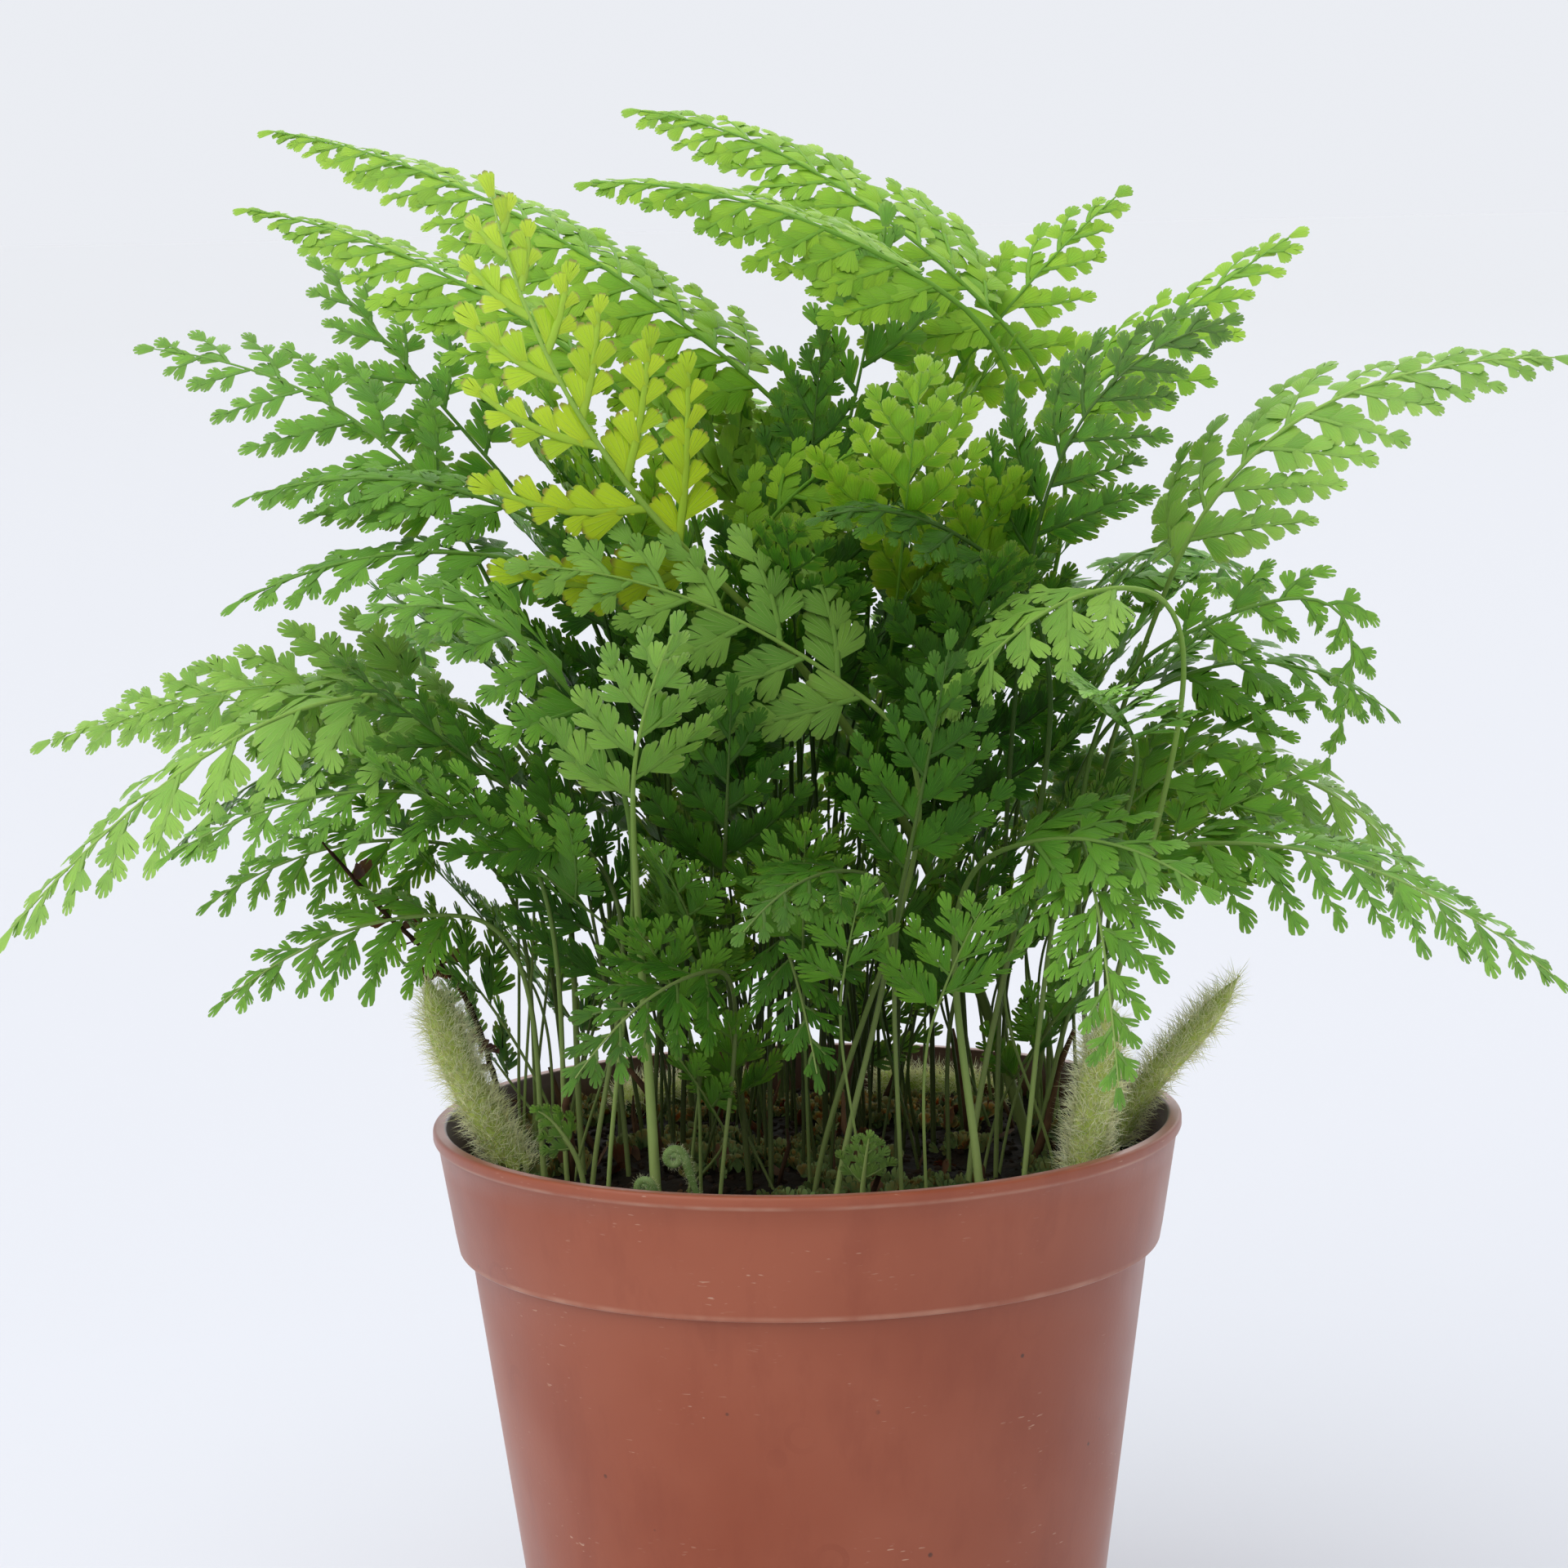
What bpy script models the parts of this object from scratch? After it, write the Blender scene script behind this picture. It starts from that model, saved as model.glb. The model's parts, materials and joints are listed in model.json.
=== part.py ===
# Rabbit's foot fern in a round nursery pot: the solids of the pot, the soil, the rhizomes and the fronds.
# Units are metres and +Z is up. The origin is the middle of the pot's flat underside. The front is at -Y.
# Places of stalks, tips and rhizomes are written in millimetres, because they are whole numbers that way.

import math
from itertools import product

import bmesh
import bpy
from mathutils import Matrix, Vector
from mathutils.bvhtree import BVHTree
from mathutils.geometry import tessellate_polygon

MM = 0.001
UP = Vector((0.0, 0.0, 1.0))

# Pot
POT_HEIGHT = 0.105
RIM_RADIUS = 0.060
COLLAR_FOOT_RADIUS = 0.0564
COLLAR_HEIGHT = 0.020
NECK_RADIUS = 0.0545
BASE_RADIUS = 0.043
WALL = 0.0016
FLOOR = 0.0022
EDGE = 0.0008
RIM_EXTRA = 0.0006
INNER_LEDGE = 0.0004
POT_SEGMENTS = 32
SHARP_ANGLE = math.radians(35)
DRAIN_RING_RADIUS = 0.026
DRAIN_RADIUS = 0.0038
DRAIN_COUNT = 6
DRAIN_SIDES = 8

# Soil
SOIL_TOP = 0.0965
SOIL_MOUND = 0.0030
SOIL_LUMPS = 0.0005
LUMP_WAVES = (260, 230, 410)
LUMP_SHIFT = 1.3
FINE_LUMPS = 0.6
SOIL_SEGMENTS = 20
SOIL_RINGS = (0.90, 0.50)
GAP = 0.0003
HOLE_PLAY = 0.00036
GROOVE_PLAY = 0.00042
ROOT_DEPTH = 0.0055
HOLE_SIDES = 4

# Fronds
BLADE_THICKNESS = 0.0006
RIB_THICKNESS = 0.0010
STIPE_THICKNESS = 0.0014
STALK_POINTS = 24
BLADE_POINTS = 25
CURVE_POINTS = STALK_POINTS + BLADE_POINTS
BLADE_MIDDLE = STALK_POINTS + BLADE_POINTS // 2
STIPE_SEGMENTS = 3
LEAF_STIPE_SEGMENTS = 2
LEAF_PAIRS = 3
STALK_START_PULL = 0.38
STALK_END_PULL = 0.30
USUAL_FOLD = -8
RIB_WIDTH = 0.0015
RIB_TIP_WIDTH = 0.0007

# How far a frond's stand may be changed so that it clears its neighbours: millimetres up, degrees round,
# degrees of roll, and size.
CLEARANCE = 0.0005
LIFTS = (0, 3, -3, 6, -6, 9, -9)
TURNS = (0, 3, -3, 6, -6, 9, -9)
ROLLS = (0, 10, -10, 20, -20)
SIZES = (1.0, 0.9, 0.8)
SIZE_EFFORT = 15

# Pinnae: lobes on each side of a pinna for a frond's number of pairs. Places on the rib are in steps from
# pinna to pinna, places on a pinna are in steps from lobe to lobe, and slants are degrees from the rib.
LOBES = {7: (3, 2, 2, 1, 1, 1, 0), 6: (2, 2, 1, 1, 1, 0), 5: (2, 1, 1, 1, 0), 4: (2, 1, 1, 0), 3: (1, 1, 0)}
PINNA_START = 0.10
PINNA_STAGGER = 0.42
PINNA_TIP_ROOM = 0.9
PINNA_FOOT = 0.30
PINNA_TAPER = 0.80
RIGHT_EXTRA = 1.04
SLANT_AT_FOOT = 66
SLANT_LOSS = 24
PINNA_BREADTH = 0.50
BREADTH_LOSS = 0.25
LOBE_PLACE = 0.62
LOBE_TIP_ROOM = 0.30
LOBE_SHRINK = 0.22
LOBE_ROOM = 0.50
NOTCH = 0.36
NOTCH_PLACE = 0.32

# Colours, roughness
TERRACOTTA = ((0.42, 0.13, 0.075), 0.42)
PEAT = ((0.020, 0.013, 0.009), 0.95)
FUR = ((0.52, 0.50, 0.33), 0.85)
LIME = ((0.36, 0.55, 0.035), 0.45)
VIVID = ((0.12, 0.40, 0.025), 0.45)
MID = ((0.075, 0.27, 0.035), 0.45)
PALE = ((0.16, 0.36, 0.07), 0.45)
DARK = ((0.020, 0.125, 0.028), 0.45)
DEAD = ((0.10, 0.045, 0.022), 0.85)

# Each frond: where its stalk stands, the foot and the tip of its blade, how far the middle of the blade bows
# out of the straight line, half the blade's width, its pairs of pinnae, where its upper face looks, how many
# degrees its two halves fold up where that isn't the usual fold, and its colour.
FRONDS = {
    "frond_lime_hero": dict(root=(37, -8), foot=(-12, -30, 194), tip=(-44, -34, 252), bow=(-9, -4, -5),
                            width=30, pairs=7, face=(0.1, -1, 0.25), colour=LIME),
    "frond_dark_crest": dict(root=(29, -20), foot=(36, -21, 194), tip=(65, -30, 231), bow=(-10, -5, 13),
                             width=21, pairs=7, face=(-0.2, -1, 0.4), colour=DARK),
    "frond_front_left": dict(root=(-31, -37), foot=(-31, -45, 175), tip=(-60, -66, 193), bow=(0, 0, 14),
                             width=17, pairs=6, face=(0.2, -0.7, 0.7), colour=MID),
    "frond_front_small": dict(root=(-23, -42), foot=(-25, -47, 162), tip=(-18, -64, 189), bow=(-3, -3, 0),
                              width=17, pairs=5, face=(0.3, -1, 0.2), colour=PALE),
    "frond_front_middle": dict(root=(0, -33), foot=(11, -38, 175), tip=(-40, -33, 197), bow=(0, -3, 10),
                               width=21, pairs=6, face=(0.1, -0.8, 0.6), colour=PALE),
    "frond_blue_front": dict(root=(14, -38), foot=(15, -47, 150), tip=(22, -55, 185), bow=(0, -4, 0),
                             width=18, pairs=6, face=(-0.1, -1, 0.1), colour=DARK),
    "frond_pale_strip": dict(root=(42, -16), foot=(49, -38, 192), tip=(20, -50, 174), bow=(0, -4, 10),
                             width=15, pairs=6, face=(0, -0.4, 0.9), colour=PALE),
    "frond_folded": dict(root=(35, -12), foot=(52, -26, 176), tip=(44, -80, 190), bow=(0, 0, 5),
                         width=15, pairs=5, face=(0, -0.2, 1), fold=32, colour=MID),
    "frond_hanging_front": dict(root=(32, -35), foot=(42, -35, 155), tip=(45, -68, 122), bow=(0, -12, 10),
                                width=17, pairs=6, face=(0, -1, 0.4), colour=MID),
    "frond_reaching_right": dict(root=(49, -10), foot=(57, -20, 150), tip=(113, -40, 132), bow=(0, 0, 14),
                                 width=21, pairs=7, face=(0, -0.45, 0.9), colour=MID),
    "frond_low_right": dict(root=(46, 12), foot=(64, 6, 160), tip=(100, 0, 137), bow=(6, 0, 12),
                            width=22, pairs=6, face=(0.2, -0.4, 0.9), colour=PALE),
    "frond_curling": dict(root=(44, -12), foot=(59, -8, 181), tip=(82, -18, 163), bow=(26, -1, 28),
                          width=10, pairs=5, face=(0, -1, 0.2), colour=DARK),
    "frond_far_right": dict(root=(36, 12), foot=(60, 5, 190), tip=(122, 10, 223), bow=(-16, 0, 18),
                            width=24, pairs=7, face=(-0.3, -0.6, 0.7), colour=PALE),
    "frond_long_left": dict(root=(-35, -14), foot=(-53, -14, 174), tip=(-121, -30, 143), bow=(5, 2, 26),
                            width=28, pairs=7, face=(0, -0.35, 0.94), colour=PALE),
    "frond_low_left": dict(root=(-37, -24), foot=(-52, -28, 164), tip=(-95, -38, 158), bow=(0, 0, 9),
                           width=17, pairs=5, face=(0, -0.5, 0.85), colour=MID),
    "frond_fine_left": dict(root=(-43, 2), foot=(-56, 0, 150), tip=(-94, -2, 142), bow=(0, 0, 8),
                            width=17, pairs=5, face=(0, -0.6, 0.8), colour=MID),
    "frond_lowest_left": dict(root=(-41, -17), foot=(-53, -22, 142), tip=(-89, -31, 131), bow=(0, 0, 8),
                              width=15, pairs=4, face=(0, -0.6, 0.8), colour=MID),
    "frond_top_left": dict(root=(-8, 14), foot=(-4, 18, 220), tip=(-86, 56, 264), bow=(0, 0, 15),
                           width=24, pairs=7, face=(0, -0.6, 0.9), fold=-18, colour=VIVID),
    "frond_second_left": dict(root=(-15, 2), foot=(-31, 4, 225), tip=(-86, 18, 251), bow=(0, 0, 8),
                              width=20, pairs=6, face=(0, -0.5, 0.9), fold=-16, colour=VIVID),
    "frond_top_middle": dict(root=(14, 24), foot=(36, 32, 229), tip=(-24, 50, 266), bow=(0, 0, 14),
                             width=26, pairs=7, face=(0, -0.7, 0.9), fold=-16, colour=VIVID),
    "frond_top_front": dict(root=(6, 6), foot=(24, 2, 236), tip=(-30, -6, 254), bow=(0, 0, 9),
                            width=19, pairs=6, face=(0, -0.6, 0.9), fold=-16, colour=VIVID),
    "frond_upper_right": dict(root=(16, 38), foot=(22, 34, 214), tip=(56, 48, 250), bow=(0, 0, 5),
                              width=22, pairs=6, face=(-0.2, -0.7, 0.7), colour=VIVID),
    "frond_right_tip": dict(root=(26, 12), foot=(40, 14, 212), tip=(80, 12, 243), bow=(0, 0, 3),
                            width=21, pairs=6, face=(-0.2, -0.6, 0.8), colour=VIVID),
    "frond_dark_left": dict(root=(-26, 12), foot=(-54, 10, 200), tip=(-103, 22, 229), bow=(9, 0, 10),
                            width=26, pairs=6, face=(0.2, -0.8, 0.6), colour=DARK),
    "frond_dark_left_high": dict(root=(-18, 26), foot=(-46, 28, 205), tip=(-77, 38, 241), bow=(-3, 0, 4),
                                 width=24, pairs=6, face=(0.2, -0.9, 0.4), colour=DARK),
    "frond_left_flat": dict(root=(-24, -12), foot=(-37, -9, 194), tip=(-86, -14, 191), bow=(0, 0, 10),
                            width=18, pairs=5, face=(0, -0.4, 0.9), colour=MID),
    "frond_left_flat_high": dict(root=(-30, 4), foot=(-44, 0, 203), tip=(-86, 4, 206), bow=(0, 0, 8),
                                 width=18, pairs=5, face=(0, -0.4, 0.9), colour=DARK),
    "frond_heart": dict(root=(3, -6), foot=(2, -8, 168), tip=(5, -4, 228), bow=(-3, -5, 0),
                        width=27, pairs=6, face=(0, -1, 0.15), colour=DARK),
    "frond_small_crown": dict(root=(-6, -14), foot=(-8, -17, 196), tip=(14, -22, 214), bow=(-2, 0, 5),
                              width=13, pairs=4, face=(0, -0.8, 0.6), colour=VIVID),
    "frond_right_strip": dict(root=(24, -32), foot=(30, -30, 196), tip=(4, -44, 204), bow=(0, 0, 7),
                              width=14, pairs=5, face=(0, -0.5, 0.9), colour=DARK),
    "frond_low_front": dict(root=(3, -42), foot=(9, -49, 151), tip=(-12, -72, 147), bow=(0, 0, 7),
                            width=13, pairs=4, face=(0, -0.6, 0.8), colour=DARK),
    "frond_low_front_right": dict(root=(26, -41), foot=(30, -40, 147), tip=(58, -60, 144), bow=(0, 0, 8),
                                  width=16, pairs=5, face=(0, -0.7, 0.7), colour=MID),
    "frond_right_shade": dict(root=(38, 4), foot=(56, 0, 172), tip=(94, 4, 168), bow=(0, 0, 12),
                              width=22, pairs=6, face=(0, -0.6, 0.8), colour=DARK),
    "frond_left_shade": dict(root=(-34, -26), foot=(-34, -30, 148), tip=(-68, -32, 176), bow=(-2, 0, 2),
                             width=19, pairs=5, face=(0.2, -1, 0.3), colour=DARK),
    "frond_under_left": dict(root=(-14, -38), foot=(-14, -42, 136), tip=(-34, -62, 124), bow=(0, -4, 7),
                             width=14, pairs=4, face=(0, -0.9, 0.5), colour=DARK),
    "frond_under_middle": dict(root=(-6, -26), foot=(-4, -30, 140), tip=(2, -60, 121), bow=(0, -6, 8),
                               width=15, pairs=4, face=(0, -0.9, 0.5), colour=DARK),
    "frond_core_left": dict(root=(-20, -2), foot=(-22, -4, 158), tip=(-34, 2, 212), bow=(-4, -6, 0),
                            width=27, pairs=5, face=(0.15, -1, 0.1), colour=DARK),
    "frond_core_right": dict(root=(20, -2), foot=(24, -4, 150), tip=(34, 4, 206), bow=(4, -6, 0),
                             width=28, pairs=5, face=(-0.15, -1, 0.1), colour=DARK),
    "frond_crown_back": dict(root=(0, 20), foot=(4, 22, 196), tip=(16, 26, 246), bow=(2, -4, 0),
                             width=24, pairs=5, face=(0, -1, 0.2), colour=MID),
    "frond_star": dict(root=(-9, -24), foot=(-12, -33, 148), tip=(-10, -44, 178), bow=(0, -5, 0),
                       width=18, pairs=5, face=(0, -1, 0.3), colour=DARK),
    "frond_low_core_left": dict(root=(-28, -16), foot=(-31, -17, 132), tip=(-36, -20, 168), bow=(0, -4, 0),
                                width=19, pairs=5, face=(0, -1, 0.3), colour=DARK),
    "frond_low_core_right": dict(root=(22, -18), foot=(23, -22, 126), tip=(30, -28, 162), bow=(0, -5, 0),
                                 width=19, pairs=5, face=(0, -1, 0.3), colour=DARK),
    "frond_back_left": dict(root=(-30, 26), foot=(-46, 42, 178), tip=(-84, 78, 160), bow=(0, 0, 21),
                            width=26, pairs=6, face=(0, 0, 1), colour=MID),
    "frond_back_high": dict(root=(-4, 32), foot=(-8, 46, 206), tip=(-22, 104, 206), bow=(0, 0, 24),
                            width=27, pairs=6, face=(0, 0, 1), colour=VIVID),
    "frond_back_low": dict(root=(2, 40), foot=(8, 56, 158), tip=(14, 106, 138), bow=(0, 0, 20),
                           width=27, pairs=5, face=(0, 0, 1), colour=MID),
    "frond_back_right": dict(root=(32, 28), foot=(48, 42, 182), tip=(84, 82, 176), bow=(0, 0, 22),
                             width=26, pairs=6, face=(0, 0, 1), colour=MID),
    "frond_back_side": dict(root=(40, 22), foot=(60, 30, 150), tip=(104, 46, 130), bow=(0, 0, 16),
                            width=22, pairs=5, face=(0, 0, 1), colour=DARK),
    "frond_side_left": dict(root=(-38, 14), foot=(-56, 18, 158), tip=(-104, 34, 146), bow=(0, 0, 18),
                            width=22, pairs=5, face=(0, 0, 1), colour=DARK),
    "leaf_juvenile_left": dict(root=(-34, -32), foot=(-36, -34, 107), tip=(-41, -37, 114), bow=(0, 0, 2),
                               width=4, pairs=3, face=(0, -0.8, 0.6), colour=MID),
    "leaf_juvenile_middle": dict(root=(8, -45), foot=(8, -45, 103), tip=(9, -48, 111), bow=(0, 0, 1),
                                 width=5, pairs=3, face=(0, -0.8, 0.6), colour=PALE),
}

# Furry rhizomes: points of the middle line, and the radius of the furry body. A height of None lies on soil.
RHIZOME_SIDES = 7
RHIZOME_STEPS = 8
TAPER_START = 0.62
BLUNT_TIP = 0.18
SWELLING = 0.06
SWELLING_WAVE = 9
LYING_RISE = 0.6
RHIZOMES = {
    "rhizome_left": (((-44, -7, 94), (-49, -8, 103), (-54, -8, 113), (-57, -9, 122), (-60, -10, 131)), 4.2),
    "rhizome_right_upright": (((43, -26, 93), (43, -27, 104), (45, -27, 115), (47, -27, 127)), 4.4),
    "rhizome_right_outer": (((46, 2, 93), (51, 3, 102), (57, 4, 110), (64, 5, 117), (71, 5, 126)), 3.4),
    "rhizome_lying_left": (((-32, 34, None), (-21, 41, None), (-8, 44, None)), 4.0),
    "rhizome_lying_right": (((11, 45, None), (24, 42, None), (35, 34, None)), 4.0),
}

# Young fronds still rolled up: foot of the stalk, foot of the coil, radius of the coil.
COIL_TURNS = 1.35
COIL_STEPS = 11
COIL_SHRINK = 0.70
COIL_SIDES = 4
COIL_THINNING = 0.35
FIDDLEHEAD_THICKNESS = 0.00055
FIDDLEHEADS = {
    "fiddlehead_front": ((-15, -44), (-18, -45, 108), 2.3),
    "fiddlehead_front_low": ((-21, -47), (-23, -47, 104), 1.9),
}

TWIG_POINTS = ((-47, 6, 93), (-50, 4, 110), (-55, -2, 128), (-64, -8, 138), (-76, -13, 154))
TWIG_RADIUS = 0.0009
TWIG_THINNING = 0.5
TWIG_STEPS = 9
TWIG_SIDES = 4


def clear_scene():
    for obj in list(bpy.data.objects):
        bpy.data.objects.remove(obj, do_unlink=True)


def make_material(name, finish):
    colour, roughness = finish
    material = bpy.data.materials.new(name)
    material.use_nodes = True
    shader = material.node_tree.nodes["Principled BSDF"]
    shader.inputs["Base Color"].default_value = (*colour, 1.0)
    shader.inputs["Roughness"].default_value = roughness
    shader.inputs["Metallic"].default_value = 0.0
    material.diffuse_color = (*colour, 1.0)
    return material


def make_object(name, verts, faces, finish, smooth=False):
    mesh = bpy.data.meshes.new(name)
    mesh.from_pydata([tuple(v) for v in verts], [], faces)
    mesh.update()
    if smooth:
        mesh.shade_smooth()
    obj = bpy.data.objects.new(name, mesh)
    bpy.context.scene.collection.objects.link(obj)
    obj.data.materials.append(make_material(name, finish))
    return obj


def turned_mesh(profile, segments):
    """Turns (radius, height) points about Z. The first and the last point lie on the axis."""
    verts = [Vector((0.0, 0.0, profile[0][1]))]
    for radius, height in profile[1:-1]:
        for k in range(segments):
            angle = 2 * math.pi * k / segments
            verts.append(Vector((radius * math.cos(angle), radius * math.sin(angle), height)))
    verts.append(Vector((0.0, 0.0, profile[-1][1])))
    rings = len(profile) - 2
    faces = []
    for k in range(segments):
        nxt = (k + 1) % segments
        faces.append((0, 1 + nxt, 1 + k))
        for ring in range(rings - 1):
            low = 1 + ring * segments
            high = low + segments
            faces.append((low + k, low + nxt, high + nxt, high + k))
        last = 1 + (rings - 1) * segments
        faces.append((last + k, last + nxt, len(verts) - 1))
    return verts, faces


def cut(obj, cutters):
    """Cuts the cutters from the object in one Boolean and removes them."""
    group = bpy.data.collections.new(obj.name + "_cutters")
    bpy.context.scene.collection.children.link(group)
    for cutter in cutters:
        for home in list(cutter.users_collection):
            home.objects.unlink(cutter)
        group.objects.link(cutter)
        cutter.hide_render = True
        cutter.display_type = "WIRE"
    modifier = obj.modifiers.new("Cut", "BOOLEAN")
    modifier.operation = "DIFFERENCE"
    modifier.operand_type = "COLLECTION"
    modifier.collection = group
    apply_modifiers(obj)
    for cutter in list(group.objects):
        bpy.data.objects.remove(cutter, do_unlink=True)
    bpy.data.collections.remove(group)


def apply_modifiers(obj):
    graph = bpy.context.evaluated_depsgraph_get()
    mesh = bpy.data.meshes.new_from_object(obj.evaluated_get(graph))
    old = obj.data
    obj.modifiers.clear()
    obj.data = mesh
    bpy.data.meshes.remove(old)
    mesh.name = obj.name


def prism(name, centre, direction, radius, depth, sides):
    """A straight prism whose axis runs along the direction."""
    mesh = bpy.data.meshes.new(name)
    body = bmesh.new()
    turn = direction.to_track_quat("Z", "Y").to_matrix().to_4x4()
    bmesh.ops.create_cone(body, cap_ends=True, segments=sides, radius1=radius, radius2=radius, depth=depth,
                          matrix=Matrix.Translation(centre) @ turn)
    body.to_mesh(mesh)
    body.free()
    obj = bpy.data.objects.new(name, mesh)
    bpy.context.scene.collection.objects.link(obj)
    return obj


def body_radius(height):
    """Outer radius of the pot below its collar."""
    return BASE_RADIUS + (NECK_RADIUS - BASE_RADIUS) * height / (POT_HEIGHT - COLLAR_HEIGHT)


def inner_radius(height):
    """Inner radius of the pot, which widens where the collar starts."""
    collar_foot = POT_HEIGHT - COLLAR_HEIGHT
    if height <= collar_foot:
        return body_radius(height) - WALL
    rise = (height - collar_foot) / COLLAR_HEIGHT
    return COLLAR_FOOT_RADIUS - WALL + (RIM_RADIUS - COLLAR_FOOT_RADIUS - RIM_EXTRA) * rise


def make_pot():
    """The outline runs up the outside from the middle of the underside and down the inside to the floor."""
    collar_foot = POT_HEIGHT - COLLAR_HEIGHT
    widening = collar_foot + 2.0 * MM
    profile = [
        (0.0, 0.0),
        (BASE_RADIUS - EDGE, 0.0),
        (BASE_RADIUS, EDGE),
        (NECK_RADIUS, collar_foot - 0.2 * MM),
        (COLLAR_FOOT_RADIUS - 0.5 * EDGE, collar_foot),
        (COLLAR_FOOT_RADIUS, collar_foot + EDGE),
        (RIM_RADIUS - 0.3 * MM, POT_HEIGHT - 2.2 * EDGE),
        (RIM_RADIUS, POT_HEIGHT - EDGE),
        (RIM_RADIUS - 0.6 * EDGE, POT_HEIGHT),
        (inner_radius(POT_HEIGHT) + 0.5 * EDGE, POT_HEIGHT),
        (inner_radius(POT_HEIGHT), POT_HEIGHT - EDGE),
        (inner_radius(widening), widening),
        (inner_radius(collar_foot) - INNER_LEDGE, collar_foot - 1.0 * MM),
        (inner_radius(FLOOR), FLOOR),
        (0.0, FLOOR),
    ]
    verts, faces = turned_mesh(profile, POT_SEGMENTS)
    pot = make_object("pot", verts, faces, TERRACOTTA)
    cutters = []
    for k in range(DRAIN_COUNT):
        angle = 2 * math.pi * (k + 0.5) / DRAIN_COUNT
        centre = DRAIN_RING_RADIUS * Vector((math.cos(angle), math.sin(angle), 0.0))
        cutters.append(prism("drain", centre, UP, DRAIN_RADIUS, 4 * FLOOR, DRAIN_SIDES))
    cut(pot, cutters)
    pot.data.shade_smooth()
    pot.data.set_sharp_from_angle(angle=SHARP_ANGLE)
    return pot


def soil_height(x, y):
    """The soil's uneven top: a low mound with soft lumps."""
    reach = (x * x + y * y) / (RIM_RADIUS * RIM_RADIUS)
    across, deep, fine = LUMP_WAVES
    lumps = math.sin(across * x + LUMP_SHIFT) * math.cos(deep * y) + FINE_LUMPS * math.sin(fine * (x + y))
    return SOIL_TOP + SOIL_MOUND * (1 - reach) + SOIL_LUMPS * lumps


def make_soil(stems, grooves):
    """The soil fills the pot. Each stem, given by its foot, direction and radius, stands in a plain hole,
    and each rhizome lies or stands in its own groove."""
    bottom = FLOOR + GAP
    shoulder = POT_HEIGHT - COLLAR_HEIGHT
    play = 1.5 * GAP
    profile = [
        (0.0, bottom),
        (inner_radius(bottom) - play, bottom),
        (inner_radius(shoulder) - INNER_LEDGE - play, shoulder),
        (inner_radius(SOIL_TOP) - play, SOIL_TOP),
    ]
    for share in SOIL_RINGS:
        profile.append((share * profile[3][0], SOIL_TOP))
    profile.append((0.0, SOIL_TOP))
    verts, faces = turned_mesh(profile, SOIL_SEGMENTS)
    for v in verts:
        if v.z >= SOIL_TOP:
            v.z = soil_height(v.x, v.y)
    soil = make_object("soil", verts, faces, PEAT)
    cutters = list(grooves)
    reach = 2 * ROOT_DEPTH
    for foot, direction, radius in stems:
        centre = foot + direction * (0.5 * reach - HOLE_PLAY)
        hole_radius = (radius + HOLE_PLAY) / math.cos(math.pi / HOLE_SIDES)
        cutters.append(prism("stem_hole", centre, direction, hole_radius, reach, HOLE_SIDES))
    cut(soil, cutters)
    return soil


def smooth_path(points, count):
    """A smooth curve through the points, as evenly stepped points."""
    ends = [2 * points[0] - points[1]] + list(points) + [2 * points[-1] - points[-2]]
    path = []
    spans = len(points) - 1
    for k in range(count):
        place = spans * k / (count - 1)
        i = min(int(place), spans - 1)
        t = place - i
        a, b, c, d = ends[i:i + 4]
        path.append(0.5 * (2 * b + (c - a) * t + (2 * a - 5 * b + 4 * c - d) * t * t
                           + (3 * b - a - 3 * c + d) * t * t * t))
    return path


def tube_mesh(path, radii, sides):
    """A round tube along the path, closed at both ends."""
    verts = []
    faces = []
    side = None
    for k, centre in enumerate(path):
        ahead = path[min(k + 1, len(path) - 1)] - path[max(k - 1, 0)]
        tangent = ahead.normalized()
        if side is None:
            side = tangent.orthogonal().normalized()
        side = (side - tangent * side.dot(tangent)).normalized()
        other = tangent.cross(side)
        for j in range(sides):
            angle = 2 * math.pi * j / sides
            verts.append(centre + radii[k] * (math.cos(angle) * side + math.sin(angle) * other))
    for k in range(len(path) - 1):
        for j in range(sides):
            nxt = (j + 1) % sides
            low = k * sides
            high = low + sides
            faces.append((low + j, low + nxt, high + nxt, high + j))
    faces.append(tuple(range(sides))[::-1])
    faces.append(tuple(range(len(verts) - sides, len(verts))))
    return verts, faces


def make_rhizome(name, points, radius_mm):
    """A furry rhizome that swells slowly and tapers to a blunt tip, and the groove that it lies in."""
    radius = radius_mm * MM
    line = []
    for x, y, z in points:
        if z is None:
            height = soil_height(x * MM, y * MM) + LYING_RISE * radius
        else:
            height = z * MM
        line.append(Vector((x * MM, y * MM, height)))
    path = smooth_path(line, RHIZOME_STEPS)
    radii = []
    for k in range(RHIZOME_STEPS):
        along = k / (RHIZOME_STEPS - 1)
        past = max(0.0, (along - TAPER_START) / (1 - TAPER_START))
        taper = math.sqrt(1 - past * past)
        swell = 1 + SWELLING * math.sin(SWELLING_WAVE * along + 1)
        radii.append(radius * swell * (BLUNT_TIP + (1 - BLUNT_TIP) * taper))
    rhizome = make_object(name, *tube_mesh(path, radii, RHIZOME_SIDES), FUR, smooth=True)
    before = path[0] + (path[0] - path[1]).normalized() * GAP
    after = path[-1] + (path[-1] - path[-2]).normalized() * GAP
    wider = [radii[0]] + radii + [radii[-1]]
    groove_radii = [r + GROOVE_PLAY for r in wider]
    groove = make_object("groove", *tube_mesh([before] + path + [after], groove_radii, RHIZOME_SIDES), PEAT)
    return rhizome, groove


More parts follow.
